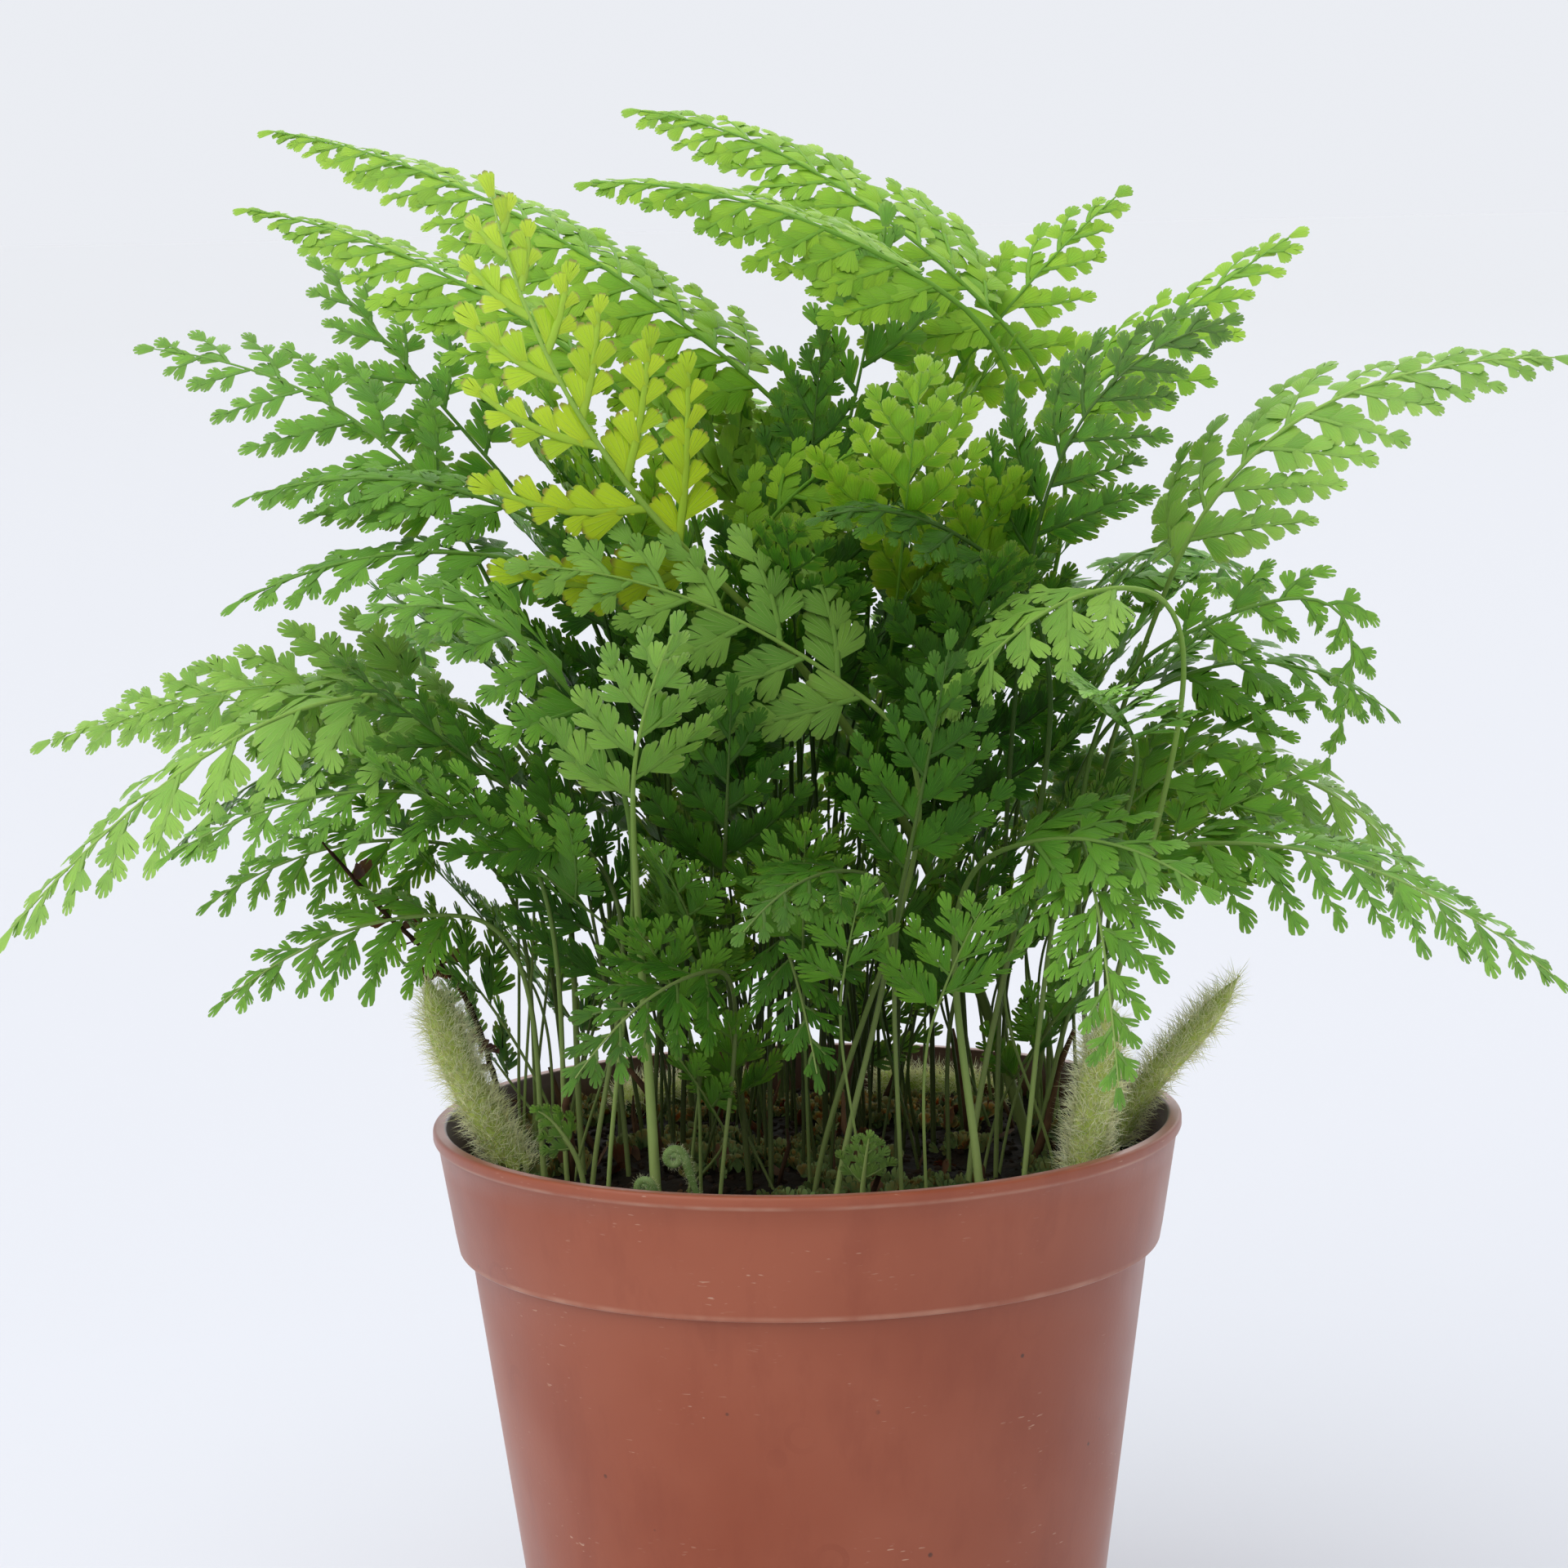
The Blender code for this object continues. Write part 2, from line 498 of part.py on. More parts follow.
def make_fiddlehead(name, root, coil_foot, coil_radius_mm):
    """A stalk that ends in a flat coil, rolled towards its middle."""
    foot = Vector((root[0] * MM, root[1] * MM, 0.0))
    foot.z = soil_height(foot.x, foot.y) - ROOT_DEPTH
    start = Vector(coil_foot) * MM
    radius = coil_radius_mm * MM
    path = smooth_path([foot, foot + 0.4 * (start - foot) + 0.4 * MM * UP, start], 5)[:-1]
    centre = start + Vector((-radius, 0.0, 0.0))
    for k in range(COIL_STEPS):
        share = k / (COIL_STEPS - 1)
        angle = 2 * math.pi * COIL_TURNS * share
        reach = radius * (1 - COIL_SHRINK * share)
        path.append(centre + Vector((reach * math.cos(angle), 0.0, reach * math.sin(angle))))
    last = len(path) - 1
    radii = [FIDDLEHEAD_THICKNESS * (1 - COIL_THINNING * k / last) for k in range(len(path))]
    verts, faces = tube_mesh(path, radii, COIL_SIDES)
    obj = make_object(name, verts, faces, PALE, smooth=True)
    return obj, (foot, (path[1] - path[0]).normalized(), FIDDLEHEAD_THICKNESS)


def make_twig():
    line = [Vector(p) * MM for p in TWIG_POINTS]
    path = smooth_path(line, TWIG_STEPS)
    radii = [TWIG_RADIUS * (1 - TWIG_THINNING * k / (TWIG_STEPS - 1)) for k in range(TWIG_STEPS)]
    verts, faces = tube_mesh(path, radii, TWIG_SIDES)
    obj = make_object("dead_twig", verts, faces, DEAD, smooth=True)
    direction = (path[1] - path[0]).normalized()
    return obj, (path[0], direction, TWIG_RADIUS)


class FrondLine:
    """The middle line of a frond: a stalk from the soil and then the blade's rib, with the way that its
    surface faces. Places on the frond are given by the length along the line and the distance beside it."""

    def __init__(self, plan, nudge):
        lift, turn, roll, size = nudge
        root = Vector((plan["root"][0] * MM, plan["root"][1] * MM, 0.0))
        root.z = soil_height(root.x, root.y) - ROOT_DEPTH
        spin = Matrix.Rotation(math.radians(turn), 4, "Z")
        shift = Vector((0.0, 0.0, lift * MM))
        foot = root + spin @ (Vector(plan["foot"]) * MM - root) + shift
        tip = foot + size * (spin @ (Vector(plan["tip"]) - Vector(plan["foot"]))) * MM
        bow = size * (spin @ Vector(plan["bow"])) * MM
        middle = 0.5 * (foot + tip) + bow
        start = (0.5 * UP + 0.5 * (foot - root).normalized()).normalized()
        reach = (foot - root).length
        entry = (middle - foot).normalized()
        low = root + STALK_START_PULL * reach * start
        high = foot - STALK_END_PULL * reach * entry
        self.points = []
        for k in range(STALK_POINTS):
            t = k / STALK_POINTS
            u = 1 - t
            self.points.append(root * u ** 3 + low * 3 * t * u * u + high * 3 * t * t * u + foot * t ** 3)
        for k in range(BLADE_POINTS):
            t = k / (BLADE_POINTS - 1)
            self.points.append(foot * (1 - t) ** 2 + middle * 2 * t * (1 - t) + tip * t * t)
        self.lengths = [0.0]
        for a, b in zip(self.points, self.points[1:]):
            self.lengths.append(self.lengths[-1] + (b - a).length)
        self.stalk = self.lengths[STALK_POINTS]
        self.total = self.lengths[-1]
        self.blade = self.total - self.stalk
        chord = (tip - foot).normalized()
        face = Matrix.Rotation(math.radians(roll), 4, chord) @ Vector(plan["face"])
        side = chord.cross(face - chord * face.dot(chord)).normalized()
        tangents = []
        for k in range(CURVE_POINTS):
            ahead = self.points[min(k + 1, CURVE_POINTS - 1)] - self.points[max(k - 1, 0)]
            tangents.append(ahead.normalized())
        self.sides = [side] * CURVE_POINTS
        for order in (range(BLADE_MIDDLE, CURVE_POINTS), range(BLADE_MIDDLE, -1, -1)):
            level = side
            for k in order:
                level = (level - tangents[k] * level.dot(tangents[k])).normalized()
                self.sides[k] = level
        self.faces = [level.cross(tangent) for level, tangent in zip(self.sides, tangents)]
        self.fold = math.radians(plan.get("fold", USUAL_FOLD))
        self.width = size * plan["width"] * MM
        self.pairs = plan["pairs"]

    def place(self, along, beside, above):
        """A point at a length along the line, beside it, and above the surface there."""
        k = 1
        while k < CURVE_POINTS - 1 and self.lengths[k] < along:
            k += 1
        t = (along - self.lengths[k - 1]) / (self.lengths[k] - self.lengths[k - 1])
        centre = self.points[k - 1].lerp(self.points[k], t)
        t = min(max(t, 0.0), 1.0)
        level = self.sides[k - 1].lerp(self.sides[k], t)
        face = self.faces[k - 1].lerp(self.faces[k], t)
        rise = abs(beside) * math.sin(self.fold)
        return centre + level * (beside * math.cos(self.fold)) + face * (rise + above)


def pinna_rule(line, k, side):
    """Where pinna k of one side starts and ends on the rib, its length and its slant from the rib."""
    step = line.blade / (line.pairs + PINNA_TIP_ROOM)
    start = (k + PINNA_START + (PINNA_STAGGER if side > 0 else 0.0)) * step
    share = start / line.blade
    length = line.width * (1 - share) ** PINNA_TAPER * (RIGHT_EXTRA if side > 0 else 1.0)
    slant = math.radians(SLANT_AT_FOOT - SLANT_LOSS * share)
    low = line.stalk + start
    return low, low + PINNA_FOOT * step, length, slant, step


def pinna_outline(line, k, side):
    """The lobed edge of a pinna, from its lower corner on the rib round its tip to its upper corner."""
    low, high, length, slant, step = pinna_rule(line, k, side)
    lobes = LOBES[line.pairs][k]
    broad = PINNA_BREADTH * step * math.sin(slant) * (1 - BREADTH_LOSS * k / line.pairs)
    edge = []
    for j in range(lobes):
        along = length * (j + LOBE_PLACE) / (lobes + LOBE_TIP_ROOM)
        out = min(broad * (1 - LOBE_SHRINK * j), LOBE_ROOM * along * math.tan(slant))
        edge.append((along, out))
        if j < lobes - 1:
            edge.append((along + NOTCH_PLACE * length / lobes, NOTCH * out))
    rim = [(a, -o) for a, o in edge] + [(length, 0.0)] + [(a, o) for a, o in reversed(edge)]
    middle = 0.5 * (low + high)
    outline = []
    for along, out in rim:
        beside = along * math.sin(slant) - out * math.cos(slant)
        ahead = middle + along * math.cos(slant) + out * math.sin(slant)
        outline.append((ahead, side * beside))
    return low, high, outline


def rib_half(line, along):
    share = max(0.0, (along - line.stalk) / line.blade)
    return 0.5 * (RIB_WIDTH - (RIB_WIDTH - RIB_TIP_WIDTH) * share)


def rib_thick(line, along):
    share = max(0.0, (along - line.stalk) / line.blade)
    return RIB_THICKNESS - (RIB_THICKNESS - BLADE_THICKNESS) * share


def stalk_segments(line):
    return STIPE_SEGMENTS if line.pairs > LEAF_PAIRS else LEAF_STIPE_SEGMENTS


def frond_mesh(line, extra):
    """One closed solid: a square stalk that runs into the blade's rib, and the pinnae cut to the rib, as one
    thin blade with the same triangles above and below. extra thickens it to test what it would touch."""
    verts = []
    faces = []

    def pair(along, beside, thick):
        """Adds the point above and the point below, and gives their numbers."""
        verts.append(line.place(along, beside, 0.5 * (thick + extra)))
        verts.append(line.place(along, beside, -0.5 * (thick + extra)))
        return len(verts) - 2, len(verts) - 1

    def wall(p, q):
        faces.append((q[0], p[0], p[1]))
        faces.append((q[0], p[1], q[1]))

    def strip(left, right):
        """Fills both faces between two chains of points, each listed with its place along the rib."""
        i = 0
        j = 0
        while i < len(left) - 1 or j < len(right) - 1:
            if j == len(right) - 1 or (i < len(left) - 1 and left[i + 1][0] < right[j + 1][0]):
                tri = (left[i][1], right[j][1], left[i + 1][1])
                i += 1
            else:
                tri = (left[i][1], right[j][1], right[j + 1][1])
                j += 1
            if len({p[0] for p in tri}) == 3:
                faces.append(tuple(p[0] for p in tri))
                faces.append(tuple(p[1] for p in reversed(tri)))

    half = 0.5 * STIPE_THICKNESS
    segments = stalk_segments(line)
    left = []
    right = []
    for k in range(segments + 1):
        along = line.stalk * k / segments
        share = k / segments
        out = half + (rib_half(line, line.stalk) - half) * share + 0.5 * extra
        thick = STIPE_THICKNESS + (RIB_THICKNESS - STIPE_THICKNESS) * share
        left.append((along, pair(along, -out, thick)))
        right.append((along, pair(along, out, thick)))
    faces.append((left[0][1][0], left[0][1][1], right[0][1][1]))
    faces.append((left[0][1][0], right[0][1][1], right[0][1][0]))
    for k in range(segments):
        wall(right[k][1], right[k + 1][1])
        wall(left[k + 1][1], left[k][1])
    for side, chain in ((1, right), (-1, left)):
        for k in range(line.pairs):
            low, high, outline = pinna_outline(line, k, side)
            corner_a = pair(low, side * rib_half(line, low), rib_thick(line, low))
            corner_b = pair(high, side * rib_half(line, high), rib_thick(line, high))
            rim = [pair(along, beside, BLADE_THICKNESS) for along, beside in outline]
            loop = [corner_a] + rim + [corner_b]
            flat = [(low, side * rib_half(line, low))] + outline + [(high, side * rib_half(line, high))]
            for a, b, c in tessellate_polygon([[Vector((beside, along, 0.0)) for along, beside in flat]]):
                (ya, xa), (yb, xb), (yc, xc) = flat[a], flat[b], flat[c]
                if (xb - xa) * (yc - ya) - (xc - xa) * (yb - ya) < 0:
                    b, c = c, b
                faces.append((loop[a][0], loop[b][0], loop[c][0]))
                faces.append((loop[c][1], loop[b][1], loop[a][1]))
            before = chain[-1][1]
            if side > 0:
                wall(before, corner_a)
            else:
                wall(corner_a, before)
            for p, q in zip(loop, loop[1:]):
                if side > 0:
                    wall(p, q)
                else:
                    wall(q, p)
            chain.append((low, corner_a))
            chain.append((high, corner_b))
    tip = pair(line.total, 0.0, BLADE_THICKNESS)
    wall(right[-1][1], tip)
    wall(tip, left[-1][1])
    strip(left + [(line.total, tip)], right + [(line.total, tip)])
    return verts, faces


def nudge_steps():
    """Small changes to a frond's stand, the smallest first."""
    steps = []
    for lift, turn, roll, size in product(LIFTS, TURNS, ROLLS, SIZES):
        effort = abs(lift) / LIFTS[1] + abs(turn) / TURNS[1] + abs(roll) / ROLLS[1]
        effort += (1 - size) * SIZE_EFFORT
        steps.append((effort, (lift, turn, roll, size)))
    steps.sort(key=lambda step: step[0])
    return [nudge for effort, nudge in steps]


def plant_fronds(obstacles):
    """Plants the fronds one by one. Each takes the smallest nudge that keeps it clear of all that stands."""
    stems = []
    for name, plan in FRONDS.items():
        for nudge in nudge_steps():
            line = FrondLine(plan, nudge)
            tree = BVHTree.FromPolygons(*frond_mesh(line, CLEARANCE))
            if not any(tree.overlap(other) for other in obstacles):
                break
        else:
            raise RuntimeError("no clear place for " + name)
        verts, faces = frond_mesh(line, 0.0)
        make_object(name, verts, faces, plan["colour"])
        obstacles.append(BVHTree.FromPolygons(verts, faces))
        direction = (line.place(line.stalk / stalk_segments(line), 0.0, 0.0) - line.points[0]).normalized()
        stems.append((line.points[0], direction, STIPE_THICKNESS / math.sqrt(2)))
    return stems


def tree_of(obj):
    corners = [v.co.copy() for v in obj.data.vertices]
    return BVHTree.FromPolygons(corners, [tuple(p.vertices) for p in obj.data.polygons])


def main():
    clear_scene()
    standing = [make_pot()]
    grooves = []
    for name, (points, radius) in RHIZOMES.items():
        rhizome, groove = make_rhizome(name, points, radius)
        standing.append(rhizome)
        grooves.append(groove)
    stems = []
    for name, (root, coil_foot, radius) in FIDDLEHEADS.items():
        fiddlehead, stem = make_fiddlehead(name, root, coil_foot, radius)
        standing.append(fiddlehead)
        stems.append(stem)
    twig, stem = make_twig()
    standing.append(twig)
    stems.append(stem)
    stems += plant_fronds([tree_of(obj) for obj in standing])
    make_soil(stems, grooves)


main()
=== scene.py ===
import json
import math
import random
from itertools import product

import bmesh
import bpy
from mathutils import Matrix, Vector, kdtree, noise

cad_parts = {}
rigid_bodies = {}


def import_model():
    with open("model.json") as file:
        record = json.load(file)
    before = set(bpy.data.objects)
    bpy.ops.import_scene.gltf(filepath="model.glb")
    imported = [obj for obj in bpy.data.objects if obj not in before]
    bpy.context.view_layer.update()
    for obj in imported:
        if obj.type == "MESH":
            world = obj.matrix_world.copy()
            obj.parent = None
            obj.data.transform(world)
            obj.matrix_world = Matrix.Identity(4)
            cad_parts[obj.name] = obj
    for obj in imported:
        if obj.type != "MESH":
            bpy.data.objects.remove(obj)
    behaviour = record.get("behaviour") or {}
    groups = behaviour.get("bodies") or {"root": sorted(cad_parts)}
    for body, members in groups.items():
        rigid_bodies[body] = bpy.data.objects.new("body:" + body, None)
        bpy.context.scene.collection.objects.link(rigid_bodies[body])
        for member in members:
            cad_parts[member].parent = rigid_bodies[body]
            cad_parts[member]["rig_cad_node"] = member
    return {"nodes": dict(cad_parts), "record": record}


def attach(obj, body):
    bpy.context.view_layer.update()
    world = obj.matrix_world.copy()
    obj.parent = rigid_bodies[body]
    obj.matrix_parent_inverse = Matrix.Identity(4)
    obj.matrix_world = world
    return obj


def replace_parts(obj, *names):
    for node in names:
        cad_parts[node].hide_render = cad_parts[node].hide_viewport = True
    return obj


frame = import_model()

mm = 0.001
hairsBreadth = 0.01 * mm
up = Vector((0, 0, 1))
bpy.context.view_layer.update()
slotOf = {part["node"]: part["material_slot"] for part in frame["record"]["subparts"]}


# camera and light

camera = dict(
    target=Vector((-0.0025, 0, 0.1585)),
    distance=0.700,
    elevation=math.radians(7.55),
    roll=math.radians(-1.29),
    sensor=36.0,
    focalPixels=5385,        # on an image 1920 pixels wide
    imageWidth=1920,
    clip=(0.01, 50))


def aimCamera():
    tilt, roll = camera["elevation"], camera["roll"]
    away = Vector((0, -math.cos(tilt), math.sin(tilt)))
    right = Vector((1, 0, 0))
    top = right.cross(-away)
    turnedRight = right * math.cos(roll) + top * math.sin(roll)
    turnedTop = top * math.cos(roll) - right * math.sin(roll)
    data = bpy.data.cameras.new("camera")
    data.sensor_width = camera["sensor"]
    data.lens = camera["focalPixels"] / camera["imageWidth"] * camera["sensor"]
    data.clip_start, data.clip_end = camera["clip"]
    eye = bpy.data.objects.new("camera", data)
    matrix = Matrix((turnedRight, turnedTop, away)).transposed().to_4x4()
    matrix.translation = camera["target"] + camera["distance"] * away
    eye.matrix_world = matrix
    bpy.context.scene.collection.objects.link(eye)
    bpy.context.scene.camera = eye


softLights = {
    # where the light comes from, strength, how wide it looks in degrees, colour
    "keyLight": ((-0.50, -0.50, 0.95), 2.1, 75, (1.0, 0.99, 0.96)),
    "backLight": ((0.25, 0.80, 0.90), 1.8, 70, (1.0, 0.995, 0.97))}
room = dict(walls=(0.83, 0.85, 0.895), ceiling=(0.24, 0.25, 0.26), wallTop=0.18, ceilingFoot=0.55)


def hangLights():
    for name, (place, strength, width, colour) in softLights.items():
        data = bpy.data.lights.new(name, "SUN")
        data.angle = math.radians(width)
        data.energy = strength
        data.color = colour
        lamp = bpy.data.objects.new(name, data)
        lamp.location = place
        lamp.rotation_euler = (-Vector(place)).to_track_quat("-Z", "Y").to_euler()
        bpy.context.scene.collection.objects.link(lamp)
    world = bpy.data.worlds.new("paleRoom")
    world.use_nodes = True
    bench["tree"] = world.node_tree
    height = split3(flow("ShaderNodeTexCoord", output="Generated"))[2]
    height = remap(height, room["wallTop"], room["ceilingFoot"])
    plug(mix(height, room["walls"], room["ceiling"]), world.node_tree.nodes["Background"].inputs["Color"])
    bpy.context.scene.world = world
    bpy.context.scene.view_settings.view_transform = "Standard"


# short helpers for meshes

def newPiece(name, verts, faces):
    mesh = bpy.data.meshes.new(name)
    mesh.from_pydata([tuple(v) for v in verts], [], faces)
    mesh.shade_smooth()
    return linked(bpy.data.objects.new(name, mesh))


def linked(piece):
    bpy.context.scene.collection.objects.link(piece)
    return piece


def drawerOf(name, pieces):        # a collection, which takes the pieces over from the scene's own
    drawer = bpy.data.collections.new(name)
    bpy.context.scene.collection.children.link(drawer)
    for piece in pieces:
        bpy.context.scene.collection.objects.unlink(piece)
        drawer.objects.link(piece)
    return drawer


def clearDrawer(drawer):
    for piece in list(drawer.objects):
        bpy.data.objects.remove(piece)
    bpy.data.collections.remove(drawer)


def ringOf(radius, z, count):        # points round the axis
    turns = [2 * math.pi * k / count for k in range(count)]
    return [(radius * math.cos(turn), radius * math.sin(turn), z) for turn in turns]


def bake(piece):        # the evaluated shape becomes the piece's plain mesh
    graph = bpy.context.evaluated_depsgraph_get()
    mesh = bpy.data.meshes.new_from_object(piece.evaluated_get(graph))
    piece.modifiers.clear()
    piece.data = mesh
    mesh.name = piece.name
    return piece


def mergedCopy(node, name, levels):        # a node's shape with its triangles joined and rounded
    body = bmesh.new()
    body.from_mesh(frame["nodes"][node].data)
    bmesh.ops.remove_doubles(body, verts=body.verts, dist=hairsBreadth)
    bmesh.ops.dissolve_limit(body, angle_limit=math.radians(1), verts=body.verts, edges=body.edges)
    mesh = bpy.data.meshes.new(name)
    body.to_mesh(mesh)
    body.free()
    mesh.shade_smooth()
    piece = linked(bpy.data.objects.new(name, mesh))
    rounding = piece.modifiers.new("Round", "SUBSURF")
    rounding.levels = rounding.render_levels = levels
    return bake(piece)


def dress(piece, material=None):        # every new piece stands still with the pot
    if material:
        piece.data.materials.clear()
        piece.data.materials.append(material)
    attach(piece, "root")
    return piece


def settle(piece, node, material=None):        # the piece stands for the node, with the material it is given
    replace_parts(dress(piece, material), node)


def tube(path, radii, sides):        # vertices and faces of a closed round tube
    verts, faces, side = [], [], None
    for k, centre in enumerate(path):
        ahead = (path[min(k + 1, len(path) - 1)] - path[max(k - 1, 0)]).normalized()
        side = side or ahead.orthogonal()
        side = (side - ahead * side.dot(ahead)).normalized()
        other = ahead.cross(side)
        for j in range(sides):
            turn = 2 * math.pi * j / sides
            verts.append(centre + radii[k] * (math.cos(turn) * side + math.sin(turn) * other))
    for low in range(0, sides * (len(path) - 1), sides):
        for j in range(sides):
            ahead = (j + 1) % sides
            faces.append((low + j, low + ahead, low + sides + ahead, low + sides + j))
    faces.append(tuple(range(sides))[::-1])
    faces.append(tuple(range(len(verts) - sides, len(verts))))
    return verts, faces


# short helpers for node trees: a Flow is what comes out of a node, and a sign beside it adds the node that
# works it out, so that a tree reads as sums do

bench = {}        # holds the tree that is being built
nodeLayout = dict(across=200, down=-240, inRow=14)


def sign(operation, swapped=False):
    def work(left, right):
        if left.socket.type in ("VECTOR", "RGBA"):
            return calcVector("SCALE" if operation == "MULTIPLY" else operation, left, right)
        return calc(operation, *((right, left) if swapped else (left, right)))
    return work


class Flow:
    __add__ = __radd__ = sign("ADD")
    __mul__ = __rmul__ = sign("MULTIPLY")
    __sub__ = sign("SUBTRACT")
    __rsub__ = sign("SUBTRACT", swapped=True)
    __truediv__ = sign("DIVIDE")

    def __init__(self, socket):
        self.socket = socket


def plug(value, socket):
    if isinstance(value, Flow):
        bench["tree"].links.new(value.socket, socket)
    else:
        socket.default_value = value


def addNode(kind, values=(), **settings):
    nodes = bench["tree"].nodes
    node = nodes.new(kind)
    row, place = divmod(len(nodes), nodeLayout["inRow"])
    node.location = (nodeLayout["across"] * place, nodeLayout["down"] * row)
    for key, value in settings.items():
        setattr(node, key, value)
    for key, value in dict(values).items():
        plug(value, node.inputs[key])
    return node


def flow(kind, values=(), output=0, **settings):        # adds a node and gives one of its outputs
    return Flow(addNode(kind, values, **settings).outputs[output])


def flows(kind, values=(), **settings):        # all its outputs, by name
    return {socket.name: Flow(socket) for socket in addNode(kind, values, **settings).outputs}


def calc(operation, *values):
    return flow("ShaderNodeMath", enumerate(values), operation=operation)


def calcVector(operation, *values):
    keys = (0, "Scale") if operation == "SCALE" else (0, 1)
    output = "Value" if operation in ("LENGTH", "DISTANCE") else "Vector"
    return flow("ShaderNodeVectorMath", zip(keys, values), output, operation=operation)


def join3(x, y, z):
    return flow("ShaderNodeCombineXYZ", enumerate((x, y, z)))


def split3(vector):
    return list(flows("ShaderNodeSeparateXYZ", {"Vector": vector}).values())


def levelLength(x, y):
    return calcVector("LENGTH", join3(x, y, 0))


def noiseAt(place, scale, detail=2.0, roughness=0.5):
    values = {"Vector": place, "Scale": scale, "Detail": detail, "Roughness": roughness}
    return flow("ShaderNodeTexNoise", values)


def remap(value, low, high, toLow=0.0, toHigh=1.0):        # clamped, straight from one range to another
    return flow("ShaderNodeMapRange", {"Value": value, 1: low, 2: high, 3: toLow, 4: toHigh})


def newTree(name, inputs, outputs=(("Geometry", ["Geometry"]),)):
    tree = bench["tree"] = bpy.data.node_groups.new(name, "GeometryNodeTree")
    for way, sockets in (("INPUT", inputs), ("OUTPUT", outputs)):
        for kind, labels in dict(sockets).items():
            for label in labels:
                tree.interface.new_socket(label, in_out=way, socket_type="NodeSocket" + kind)
    return tree, flows("NodeGroupInput"), addNode("NodeGroupOutput").inputs


def randomBetween(low, high, key, seed):
    return flow("FunctionNodeRandomValue", {2: low, 3: high, "ID": key, "Seed": seed}, 1, data_type="FLOAT")


def geo(kind, first, values=(), output=0, **settings):        # a geometry node, its first input given first
    return flow("GeometryNode" + kind, {0: first, **dict(values)}, output, **settings)


def store(geometry, name, value, domain="POINT"):
    values = {"Name": name, "Value": value}
    return geo("StoreNamedAttribute", geometry, values, data_type="FLOAT", domain=domain)


def joined(*parts):
    node = addNode("GeometryNodeJoinGeometry")
    for part in parts:
        plug(part, node.inputs[0])
    return Flow(node.outputs[0])


def growWith(piece, tree, values):        # runs the tree on the piece, and leaves a plain mesh
    modifier = piece.modifiers.new(tree.name, "NODES")
    modifier.node_group = tree
    for item in tree.interface.items_tree:
        if item.in_out == "INPUT" and item.name in values:
            modifier[item.identifier] = values[item.name]
    return bake(piece)


# leaflets: thin closed wedges along +X, one unit long, with rounded teeth round their end

leaflets = {
    # for each style, leaflets to draw from and last the one at a tip:
    # half spread in degrees, lobes, teeth on each lobe, how deep between lobes and between teeth,
    # and how much shorter its sides are
    "wedge": ((25, 3, 1, 0.12, 0.06, 0.16), (22, 1, 4, 0.07, 0.07, 0.12), (24, 2, 2, 0.22, 0.07, 0.14),
              (36, 3, 2, 0.34, 0.07, 0.36)),
    "fan": ((37, 3, 2, 0.13, 0.05, 0.24), (33, 1, 5, 0.05, 0.05, 0.20), (31, 2, 2, 0.20, 0.06, 0.26),
            (46, 3, 2, 0.34, 0.07, 0.42)),
    "lobed": ((32, 3, 2, 0.36, 0.06, 0.34), (27, 2, 2, 0.34, 0.07, 0.30), (34, 4, 1, 0.32, 0.06, 0.42),
              (40, 5, 1, 0.44, 0.06, 0.46)),
    "lacy": ((34, 3, 2, 0.40, 0.10, 0.40), (29, 2, 2, 0.38, 0.10, 0.32), (36, 4, 1, 0.36, 0.10, 0.44),
             (42, 5, 1, 0.44, 0.10, 0.48)),
    "finger": ((26, 3, 1, 0.60, 0.09, 0.38), (20, 2, 1, 0.56, 0.09, 0.30), (30, 4, 1, 0.52, 0.09, 0.46),
               (34, 3, 1, 0.66, 0.09, 0.34)),
    "young": ((40, 3, 1, 0.30, 0.10, 0.26), (38, 2, 2, 0.22, 0.10, 0.26), (40, 3, 1, 0.30, 0.10, 0.26),
              (55, 5, 1, 0.35, 0.10, 0.26))}
leafletForm = dict(halfThickness=0.016, cup=0.30, droop=0.18, foot=0.12, toothRound=0.035, thickest=0.36,
                   roundTooth=((0.14, 1), (0.5, 0), (0.86, 1)), fineTooth=((0.22, 0.5), (0.78, 0.5)),
                   mostRound=2)


def makeLeaflet(name, spreadDegrees, lobes, teeth, cleft, notch, shorter):
    form = leafletForm
    spread = math.radians(spreadDegrees)
    count = lobes * teeth
    tooth = form["roundTooth"] if teeth <= form["mostRound"] else form["fineTooth"]
    rim = []

    def addToRim(share, less):
        rim.append((1 - shorter * share * share - less, spread * share))

    for j in range(count):
        for part, less in tooth:
            addToRim(2 * (j + part) / count - 1, less * form["toothRound"])
        if j < count - 1:
            addToRim(2 * (j + 1) / count - 1, cleft if (j + 1) % teeth == 0 else notch)
    flat = [(0, -form["foot"])] + [(r * math.cos(a), r * math.sin(a)) for r, a in rim] + [(0, form["foot"])]
    verts = [(x, y, -form["cup"] * y * y - form["droop"] * x * x) for x, y in flat]
    last = len(flat)
    verts += [(form["thickest"], 0, form["halfThickness"]), (form["thickest"], 0, -form["halfThickness"])]
    faces = []
    for k in range(last):
        faces.append((k, (k + 1) % last, last))
        faces.append(((k + 1) % last, k, last + 1))
    leaflet = newPiece(name, verts, faces)
    layer = leaflet.data.uv_layers.new(name="leafMap")
    for loop in leaflet.data.loops:
        x, y, _ = verts[loop.vertex_index]
        layer.data[loop.index].uv = (x, y + 0.5)
    under = leaflet.data.attributes.new("under", "FLOAT", "FACE")        # 0 on the upper side and 1 below
    under.data.foreach_set("value", [k % 2 for k in range(2 * last)])
    edges = leaflet.data.attributes.new("sharp_edge", "BOOLEAN", "EDGE")
    for edge in leaflet.data.edges:
        edges.data[edge.index].value = max(edge.vertices) < last
    return leaflet


